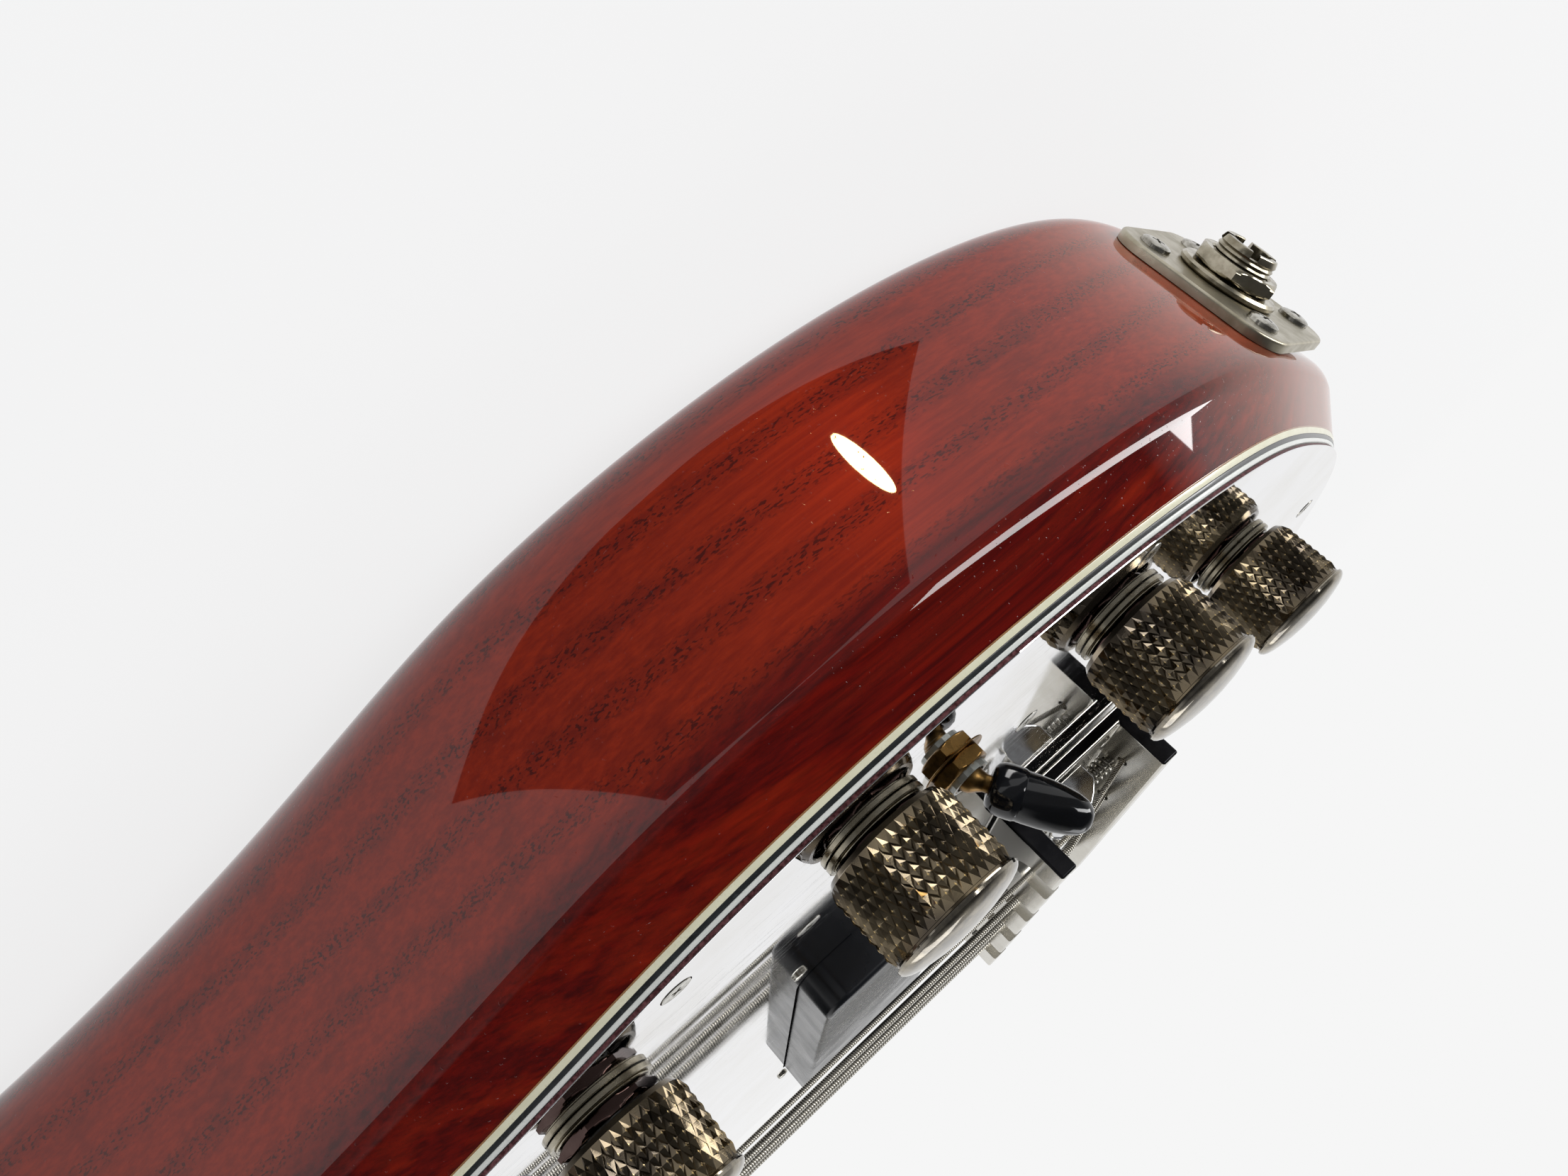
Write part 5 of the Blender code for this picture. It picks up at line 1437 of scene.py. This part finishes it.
def makeNeck():
    shape = neckShape
    scale, top = shape["scale"], shape["top"]
    deep = top - pocket["low"] - pocket["fit"]
    rings = [neckRing(pocket["boardStart"], deep, 12.0), neckRing(pocket["heelEnd"], deep, 12.0),
             neckRing(pocket["heelEnd"] + 2.5, deep - 0.9, 11.0),
             neckRing(pocket["heelEnd"] + 12.0, shape["heelDepth"], 5.0),
             neckRing(pocket["heelEnd"] + 18.0, shape["heelDepth"] - 0.5, 3.8),
             neckRing(pocket["heelEnd"] + 26.0, shape["heelDepth"] - 0.8, 3.0)]
    slim = shape["nutDepth"] - shape["heelDepth"] + 1.6
    for k in range(13):
        share = k / 12.0
        rings.append(neckRing(shape["shaftStart"] + (scale - 20.0 - shape["shaftStart"]) * share,
                              shape["heelDepth"] - 1.6 + slim * share, 2.2))
    end = scale + shape["nutThickness"]
    rings.append(neckRing(end - 12.0, shape["nutDepth"] - 0.3, 2.8))
    rings.append(neckRing(end - 0.2, shape["nutDepth"] - 0.2, 7.0))
    rings.append([(end + 0.2, y, min(z, top - shape["headDrop"] - 0.8)) for x, y, z in rings[-1]])
    rings.append([(end + 16.0, y * 0.9, top - 4.0 + (z - top) * 0.6) for x, y, z in rings[-1]])
    neck = skin("neck_and_headstock", rings)
    # the headstock's edges are rounded over by 1.6 mm
    edge = smoothRun(headEdge, 6)
    loop = np.array([(-2.0, -19.5)] + [(x, -y) for x, y in edge] + [(x, y) for x, y in reversed(edge[:-1])]
                    + [(-2.0, 19.5)])
    thick, soft = shape["headThickness"], 1.6
    sides = []
    for level, way in ((-thick, 1.0), (0.0, -1.0)):
        steps = [(soft * (1.0 - math.sin(math.pi / 2.0 * k / 4)), soft * (1.0 - math.cos(math.pi / 2.0 * k / 4)))
                 for k in range(5)]
        rolled = [atHeight(inward(loop, inset), level + way * rise) for inset, rise in steps]
        sides += rolled if way > 0 else rolled[::-1]
    head = settle(skin("head_blank", sides), headPlace())
    carve(neck, head, how='UNION')
    holes = []
    for index in range(4):
        hole = drill("postCut", postSpot(index), stringShape["postRadius"] + 0.3, -thick - 5.0, 5.0)
        holes.append(settle(hole, headPlace()))
    slot = prism("rodCut", [(229.0, -3.3), (end + 22.0, -3.3), (end + 22.0, 3.3), (229.0, 3.3)],
                 top - 8.5, top + 5.0)
    carve(neck, slot, *holes)
    paint(neck, "maple")
    finishPiece(neck, "instrument", ("neck",), 35.0)


board = {"low": 50.2, "top": 56.2, "dots": (3, 5, 7, 9, 12, 15, 17, 19), "dotRadius": 1.25}


def makeBoard():
    rings = []
    start, end = pocket["boardStart"], neckShape["scale"] - 0.1
    for x in (start, start + 0.4, end):
        half = neckHalf(x)
        trim = 0.4 if x == start else 0.0
        ring = [(x, half, board["low"] + trim), (x, -half, board["low"] + trim)]
        # rolled edges, worn soft by the hand
        for k in range(33):
            y = -half + 2.0 * half * k / 32
            roll = 0.5 * max(0.0, 1.0 - (half - abs(y)) / 1.2) ** 2
            ring.append((x, y, board["top"] - y * y / (2.0 * stringShape["boardRadius"]) - roll - trim))
        rings.append(ring)
    surface = skin("fingerboard", rings)
    paint(surface, "ebony")
    finishPiece(surface, "instrument", ("fretboard",), 35.0)
    # dots on the bass edge, where the frets would be
    marks = []
    for number in board["dots"]:
        x = neckShape["scale"] * 2.0 ** (-number / 12.0)
        for shift in ((-4.0, 4.0) if number == 12 else (0.0,)):
            dot = lathe("blank", [(board["dotRadius"], -1.5), (board["dotRadius"], -0.02),
                                  (board["dotRadius"] - 0.15, 0.05), (0.3, 0.07)], 24)
            slope = (neckShape["spreadBridge"] - neckShape["spreadNut"]) / 2.0 / neckShape["scale"]
            marks.append(settle(dot, standing((x + shift, neckHalf(x + shift), 52.5), (slope, 1.0, 0.0))))
    dots = merge("side_dots", marks)
    paint(dots, "pearl")
    finishPiece(dots, "instrument", (), 35.0)


def makeNut():
    half = neckHalf(neckShape["scale"]) - 0.2
    low, edgeHigh = neckShape["top"] + 0.1, board["top"] + 1.0
    front, back = neckShape["scale"], neckShape["scale"] + neckShape["nutThickness"] - 0.2
    loop = [(half, low), (half, edgeHigh - 0.8), (half - 0.25, edgeHigh - 0.25), (half - 0.8, edgeHigh)]
    for index in (3, 2, 1, 0):
        nut = stringLine(index)[1]
        width = stringShape["diameters"][index] / 2.0 + 0.3
        loop.append((nut.y + width + 0.35, nut.z + 0.5))
        loop.append((nut.y + width, nut.z + 0.2))
        loop += [(nut.y + width * math.cos(math.pi * k / 12), nut.z - width * math.sin(math.pi * k / 12))
                 for k in range(13)]
        loop.append((nut.y - width, nut.z + 0.2))
        loop.append((nut.y - width - 0.35, nut.z + 0.5))
    loop += [(-half + 0.8, edgeHigh), (-half + 0.25, edgeHigh - 0.25), (-half, edgeHigh - 0.8), (-half, low)]
    rings = []
    for x, fall in ((front, 0.25), (front + 0.4, 0.0), (back - 1.2, 0.1), (back, 0.6)):
        rings.append([(x, y, z - (fall if z > low else 0.0)) for y, z in loop])
    nut = skin("bone_nut", rings)
    paint(nut, "bone")
    finishPiece(nut, "instrument", ("nut",), 35.0)


# half of the truss rod cover's edge, from the nut to its tip, in the plane of the head
coverEdge = [(2.0, 9.4), (3.4, 11.0), (5.6, 11.5), (12.0, 11.5), (19.0, 9.4), (26.0, 7.0), (30.5, 5.4),
             (33.0, 2.2), (33.4, 0.0)]


def makeCovers():
    edge = smoothRun(coverEdge, 4)
    loop = np.array([(x, -y) for x, y in edge] + [(x, y) for x, y in reversed(edge[:-1])])
    rings = [atHeight(loop, 0.3), atHeight(loop, 1.9), atHeight(inward(loop, 0.15), 2.2),
             atHeight(inward(loop, 0.45), 2.3)]
    cover = settle(skin("truss_rod_cover_plate", rings), headPlace())
    paint(cover, "cover")
    finishPiece(cover, "instrument", ("truss_rod_cover",), 40.0)
    spots = [headPlace() @ Matrix.Translation((x * mm, y * mm, 2.3 * mm))
             for x, y in ((6.5, -8.2), (6.5, 8.2), (29.0, 0.0))]
    addScrews("rod_cover_screws", "small", spots, "instrument")
    # flush screws round the control cover's lip, on the back
    middle = (cavity["outer"] + cavity["inner"]) / 2.0
    away = (cavity["outer"] - cavity["inner"]) / 2.0 + 2.0
    places = []
    for angle, side in ((-52.0, 1), (-20.0, 1), (12.0, 1), (42.0, 1), (-48.0, -1), (-4.0, -1), (38.0, -1)):
        x, y = boutPoint(angle, middle + side * away)
        places.append(standing((x, y, 0.0), (0.0, 0.0, -1.0)))
    addScrews("control_cover_screws", "flat", places, "instrument")


makeNeck()
makeBoard()
makeNut()
makeCovers()
print("neck made")


# open tuners: a plate with two ears on the back of the head, a worm on the key, a gear on the post
tuner = {"gear": 9.0, "gearThick": 4.0, "teeth": 20, "worm": 3.0, "mesh": 0.4, "sheet": 2.0, "ear": 3.0,
         "earSpan": 9.5, "shaft": 2.0, "reach": 20.0, "length": 19.0, "width": 22.0, "thick": 4.6}


def tunerHeights():
    # the head's back, the sheet's lower face and the worm's axis
    under = -neckShape["headThickness"] - 0.3
    sheetLow = under - tuner["sheet"]
    wormZ = sheetLow - 0.3 - tuner["worm"]
    return under, sheetLow, wormZ


def makeTunerPlate(tag, place):
    under, sheetLow, wormZ = tunerHeights()
    wormAlong = tuner["gear"] + tuner["worm"] + tuner["mesh"]
    loop = np.array([(x + 3.0, y) for x, y in roundedLoop(30.0, 25.0, 3.0, 8)])
    sheet = skin("tuner_back_plate_" + tag, [
        atHeight(inward(loop, 0.5), sheetLow), atHeight(inward(loop, 0.15), sheetLow + 0.15),
        atHeight(loop, sheetLow + 0.5), atHeight(loop, under)])
    for inner in (tuner["earSpan"], -tuner["earSpan"] - tuner["ear"]):
        ring = [(wormAlong + 4.6, sheetLow + 0.5)]
        ring += [(wormAlong + 4.6 * math.cos(math.pi * k / 16), wormZ - 4.6 * math.sin(math.pi * k / 16))
                 for k in range(17)] + [(wormAlong - 4.6, sheetLow + 0.5)]
        ear = skin("earBlank", [[(x, y, z) for x, z in ring] for y in (inner, inner + tuner["ear"])])
        modify(ear, 'BEVEL', width=0.35 * mm, segments=2, limit_method='ANGLE', angle_limit=math.radians(50.0))
        carve(sheet, ear, how='UNION')
    bearing = drill("bearingCut", (0.0, 0.0), tuner["shaft"] + 0.3, -20.0, 20.0, 24)
    settle(bearing, standing((wormAlong, 0.0, wormZ), (0.0, 1.0, 0.0)))
    carve(sheet, drill("postCut", (0.0, 0.0), stringShape["postRadius"] + 0.3, sheetLow - 2.0, under + 2.0), bearing)
    settle(sheet, place)
    paint(sheet, "nickel")
    finishPiece(sheet, "instrument", ("tuner_plate_" + tag,), 35.0)
    spots = [place @ standing((x, y, sheetLow), (0.0, 0.0, -1.0))
             for x, y in ((-9.2, 9.7), (-9.2, -9.7), (4.6, 9.9), (4.6, -9.9))]
    addScrews("tuner_screws_" + tag, "small", spots, "instrument")
    # ferrule round the post, on the face of the head
    ferrule = lathe("tuner_ferrule_" + tag, [(5.05, -1.5), (6.4, -1.5), (6.4, 0.05), (7.4, 0.1), (7.4, 0.6),
                                             (7.0, 1.0), (5.4, 1.2), (5.05, 1.0)], 40, hoop=True)
    settle(ferrule, place)
    paint(ferrule, "nickel")
    finishPiece(ferrule, "instrument", (), 35.0)


def makeTunerPost(tag, place):
    wormZ = tunerHeights()[2]
    radius, rise = stringShape["postRadius"], stringShape["postRise"]
    high = wormZ + tuner["gearThick"] / 2.0
    low = high - tuner["gearThick"]
    post = lathe("tuner_post_" + tag + "_turned", [
        (1.0, high - 0.5), (radius - 0.3, high - 0.5), (radius, high + 0.1), (radius, rise - 5.8),
        (radius - 0.35, rise - 5.0), (radius - 0.35, rise - 3.2), (radius, rise - 2.4), (radius + 0.8, rise - 1.5),
        (radius + 0.9, rise - 1.2), (radius + 0.9, rise - 0.5), (radius + 0.65, rise - 0.15), (radius, rise),
        (1.3, rise)], 48)
    slit = prism("slitCut", [(-8.0, -1.15), (8.0, -1.15), (8.0, 1.15), (-8.0, 1.15)], rise - 4.2, rise + 2.0)
    eye = drill("eyeCut", (0.0, 0.0), 1.5, rise - 8.0, rise + 2.0, 24)
    carve(post, slit, eye)
    # teeth are hollowed a little in the middle, where the worm runs
    teeth = []
    for k in range(tuner["teeth"] * 4):
        out = tuner["gear"] if k % 4 in (0, 1) else tuner["gear"] - 1.3
        turn = math.tau * (k + (0.25 if k % 4 in (0, 2) else -0.25)) / (tuner["teeth"] * 4)
        teeth.append((out * math.cos(turn), out * math.sin(turn)))
    rings = [[(x * s, y * s, z) for x, y in teeth]
             for s, z in ((0.93, low), (1.0, low + 0.5), (0.96, low + 2.0), (1.0, high - 0.5), (0.93, high))]
    gear = skin("gearBlank", rings)
    cap = lathe("capBlank", [(2.6, low - 0.6), (2.9, low - 0.3), (2.9, low + 0.1), (2.0, low + 0.1)], 6)
    whole = merge("tuner_post_" + tag + "_turned", [post, gear, cap])
    settle(whole, place)
    paint(whole, "nickel", "brass")
    origin = place.inverted()
    paintWhere(whole, 1, lambda spot, normal: (origin @ (spot * mm)).z / mm < high + 0.05)
    finishPiece(whole, "tuner_post_set_" + tag, ("tuner_post_" + tag,), 35.0)


def makeTunerKey(tag, place, out):
    wormZ = tunerHeights()[2]
    wormAlong = tuner["gear"] + tuner["worm"] + tuner["mesh"]
    axis = place @ standing((wormAlong, 0.0, wormZ), (0.0, out, 0.0), (1.0, 0.0, 0.0))
    half, end = tuner["earSpan"] - 0.3, tuner["earSpan"] + tuner["ear"] + 1.0
    shaft, worm, reach = tuner["shaft"], tuner["worm"], tuner["reach"]
    profile = [(1.0, -end), (shaft, -end + 0.3), (shaft, -half)]
    z = -half + 0.1
    while z < half - 1.6:
        profile += [(worm - 0.9, z), (worm, z + 0.5), (worm, z + 0.9), (worm - 0.9, z + 1.4)]
        z += 1.5
    profile += [(shaft, half), (shaft, reach - 2.0), (shaft + 0.9, reach - 1.2), (shaft + 0.9, reach + 0.6),
                (shaft, reach + 1.4), (shaft, reach + 4.0), (1.0, reach + 4.0)]
    stem = lathe("stemBlank", profile, 28)
    rings = []
    for k in range(9):
        height = math.sin(math.pi * (k / 8.0 - 0.5))
        share = 0.8 + 0.2 * math.cos(math.pi * (k / 8.0 - 0.5)) ** 0.6 if 0 < k < 8 else 0.8
        ring = []
        for j in range(48):
            angle = math.tau * j / 48
            waist = 1.0 - 0.08 * math.cos(2.0 * angle)
            ring.append((tuner["width"] / 2.0 * share * math.cos(angle) * waist, tuner["thick"] / 2.0 * height,
                         reach + tuner["length"] / 2.0 * (1.0 + share * math.sin(angle))))
        rings.append(ring)
    whole = merge("tuner_key_%s_paddle" % tag, [skin("paddleBlank", rings), stem])
    settle(whole, axis)
    paint(whole, "nickel")
    finishPiece(whole, "tuner_key_set_" + tag, ("tuner_key_" + tag,), 40.0)


for index, tag in enumerate(stringTags):
    spot = postSpot(index)
    place = headPlace() @ Matrix.Translation(spot * mm)
    makeTunerPlate(tag, place)
    makeTunerPost(tag, place)
    makeTunerKey(tag, place, -1.0 if spot.y < 0.0 else 1.0)
print("tuners made")


strapButton = {"cap": 8.0, "neck": 3.6, "length": 13.0, "felt": 7.4}


def makeStrapButtons():
    size = strapButton
    cap, neck, length = size["cap"], size["neck"], size["length"]
    for tag, place in strapPlaces().items():
        profile = [(2.0, 1.5), (cap * 0.8, 1.5), (cap * 0.8, 2.2), (neck + 0.5, 3.4), (neck, 4.4), (neck, 7.6)]
        profile += [(neck + 0.5 + (cap - neck - 0.5) * k / 6.0, 8.2 + 2.2 * (k / 6.0) ** 1.6) for k in range(1, 7)]
        profile += [(cap, length - 1.4), (cap - 0.35, length - 0.6), (cap * 0.8, length - 0.1), (cap * 0.62, length),
                    (cap * 0.56, length - 0.15), (2.6, length - 1.6), (1.2, length - 1.7)]
        button = settle(lathe("strap_button_%s_turned" % tag, profile, 48), place)
        paint(button, "nickel")
        finishPiece(button, "instrument", ("strap_button_" + tag,), 35.0)
        felt = lathe("strap_felt_" + tag, [(2.2, 0.1), (size["felt"], 0.1), (size["felt"] + 0.15, 0.7),
                                           (size["felt"], 1.4), (2.2, 1.45)], 40, hoop=True)
        settle(felt, place)
        paint(felt, "felt")
        finishPiece(felt, "instrument", (), 40.0)
        addScrews("strap_screw_" + tag, "oval", [place @ Matrix.Translation((0.0, 0.0, (length - 1.4) * mm))],
                  "instrument", (25.0,))


makeStrapButtons()
print("strap buttons made")


# solids that stay as they are get a real finish
carried = {"control_cover": "cover", "truss_rod": "screw", "pot_1": "zinc", "pot_2": "zinc", "pot_3": "zinc",
           "pot_4": "zinc", "pot_shaft_1": "screw", "pot_shaft_2": "screw", "pot_shaft_3": "screw",
           "pot_shaft_4": "screw", "toggle_body": "zinc"}
for node, look in carried.items():
    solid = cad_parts[node]
    solid.data.materials.clear()
    solid.data.materials.append(looks[look])


# the studio: white paper under and behind the object, a dim room above and in front of it
studio = {"paper": "F5F5F5", "backdrop": "F6F6F6", "roomLight": 0.46, "ceiling": 0.08,
          "ceilingFar": 0.55, "front": 0.1, "frontLow": 0.2,
          "lamps": (("window_strip", (-1.15, -0.85, 0.92), (0.03, -0.14, 0.04), 1.9, 0.34, 20.0, "FFFFFF"),
                    ("soft_box_far", (0.35, 1.1, 1.6), (0.3, 0.0, 0.03), 1.2, 0.8, 7.0, "FBFCFF"),
                    ("warm_bulb", (0.0166, -0.1895, 0.0055), (0.0418, -0.1514, 0.0223), 0.0045, 0.013, 0.00055,
                     "FFD894"))}


def makeWorld():
    world = bpy.data.worlds.new("studio_room")
    scene.world = world
    world.use_nodes = True
    tree = world.node_tree
    tree.nodes.clear()
    path = addNode(tree, "LightPath")
    toward = addNode(tree, "SeparateXYZ", {0: addNode(tree, "TexCoord", take="Generated")})
    # polished metal sees the white backdrop on the far side, up to 31 degrees high, a lit wall low
    # down in front, and a ceiling that is pale on the far side only
    near = ramp(tree, toward.outputs["Z"], 0.36, 0.48, studio["frontLow"], studio["front"])
    level = ramp(tree, toward.outputs["Y"], -0.45, 0.05, near, 1.0)
    over = ramp(tree, toward.outputs["Y"], 0.1, 0.5, studio["ceiling"], studio["ceilingFar"])
    high = ramp(tree, toward.outputs["Z"], 0.52, 0.62)
    level = addNode(tree, "Mix", {0: high, 2: level, 3: over}, 0)
    lit = addNode(tree, "Background", {"Color": "F2F4F8", "Strength": studio["roomLight"]}, 0)
    mirrored = addNode(tree, "Background", {"Color": studio["backdrop"], "Strength": level}, 0)
    plain = addNode(tree, "Background", {"Color": studio["backdrop"], "Strength": 1.0}, 0)
    seen = sums(tree, 'MAXIMUM', path.outputs["Is Camera Ray"], path.outputs["Is Transmission Ray"])
    first = addNode(tree, "MixShader", {0: path.outputs["Is Glossy Ray"], 1: lit, 2: mirrored}, 0)
    second = addNode(tree, "MixShader", {0: seen, 1: first, 2: plain}, 0)
    addNode(tree, "OutputWorld", {"Surface": second})


def makeFloor():
    # paper that keeps the shadow near the object and turns into the even backdrop further out
    made, tree = newMaterial("matt_white_paper")
    path = addNode(tree, "LightPath")
    where = addNode(tree, "TexCoord", take="Object")
    out = addNode(tree, "VectorMath", {0: where, 1: (0.4, 0.0, 0.0)}, "Value", operation='DISTANCE')
    even = ramp(tree, out, 0.55, 1.5, 0.86, 1.0)
    # a painted dark patch lies in front of the bout, seen in reflections alone: a painted dark reflection
    axes = addNode(tree, "SeparateXYZ", {0: where})
    darkPatchX = sums(tree, 'COMPARE', axes.outputs["X"], 0.065, 0.07)
    darkPatchY = sums(tree, 'COMPARE', axes.outputs["Y"], -0.6, 0.43)
    paintedDarkReflection = sums(tree, 'MULTIPLY', darkPatchX, darkPatchY)
    paintedDarkReflection = sums(tree, 'MULTIPLY', paintedDarkReflection, path.outputs["Is Glossy Ray"])
    level = ramp(tree, paintedDarkReflection, start=1.0, end=0.08)
    seen = sums(tree, 'MAXIMUM', path.outputs["Is Camera Ray"], path.outputs["Is Transmission Ray"])
    seen = sums(tree, 'MAXIMUM', seen, path.outputs["Is Glossy Ray"])
    share = sums(tree, 'MULTIPLY', seen, even)
    fibres = noise(tree, where, 900.0, 3.0)
    lie = relief(tree, fibres, 0.00002, 0.3)
    paper = addNode(tree, "BsdfPrincipled", {"Base Color": studio["paper"], "Roughness": 0.9,
                                             "Specular IOR Level": 0.05, "Normal": lie}, 0)
    glow = addNode(tree, "Emission", {"Color": studio["backdrop"], "Strength": level}, 0)
    mixed = addNode(tree, "MixShader", {0: share, 1: paper, 2: glow}, 0)
    addNode(tree, "OutputMaterial", {"Surface": mixed})
    floor = settle(primitive("paper_floor", "plane", size=12.0, location=(0.4, 0.0, -0.0005)))
    floor.data.materials.append(made)


def makeLamps():
    for name, place, aim, wide, deep, power, colour in studio["lamps"]:
        lamp = bpy.data.lights.new(name, 'AREA')
        if wide < 0.1:  # the small bulb is shaded, so that it doesn't light the paper
            lamp.shape, lamp.spread = 'ELLIPSE', math.radians(36.0)
        else:
            lamp.shape = 'RECTANGLE'
        lamp.size, lamp.size_y, lamp.energy = wide, deep, power
        lamp.color = toLinear(colour)[:3]
        body = bpy.data.objects.new(name, lamp)
        scene.collection.objects.link(body)
        body.location = place
        body.visible_camera = False
        body.rotation_euler = (Vector(aim) - Vector(place)).to_track_quat('-Z', 'Y').to_euler()


makeWorld()
makeFloor()
makeLamps()
for model in screwModels.values():
    bpy.data.objects.remove(model, do_unlink=True)
scene.view_settings.view_transform = 'Standard'

print("stage made")
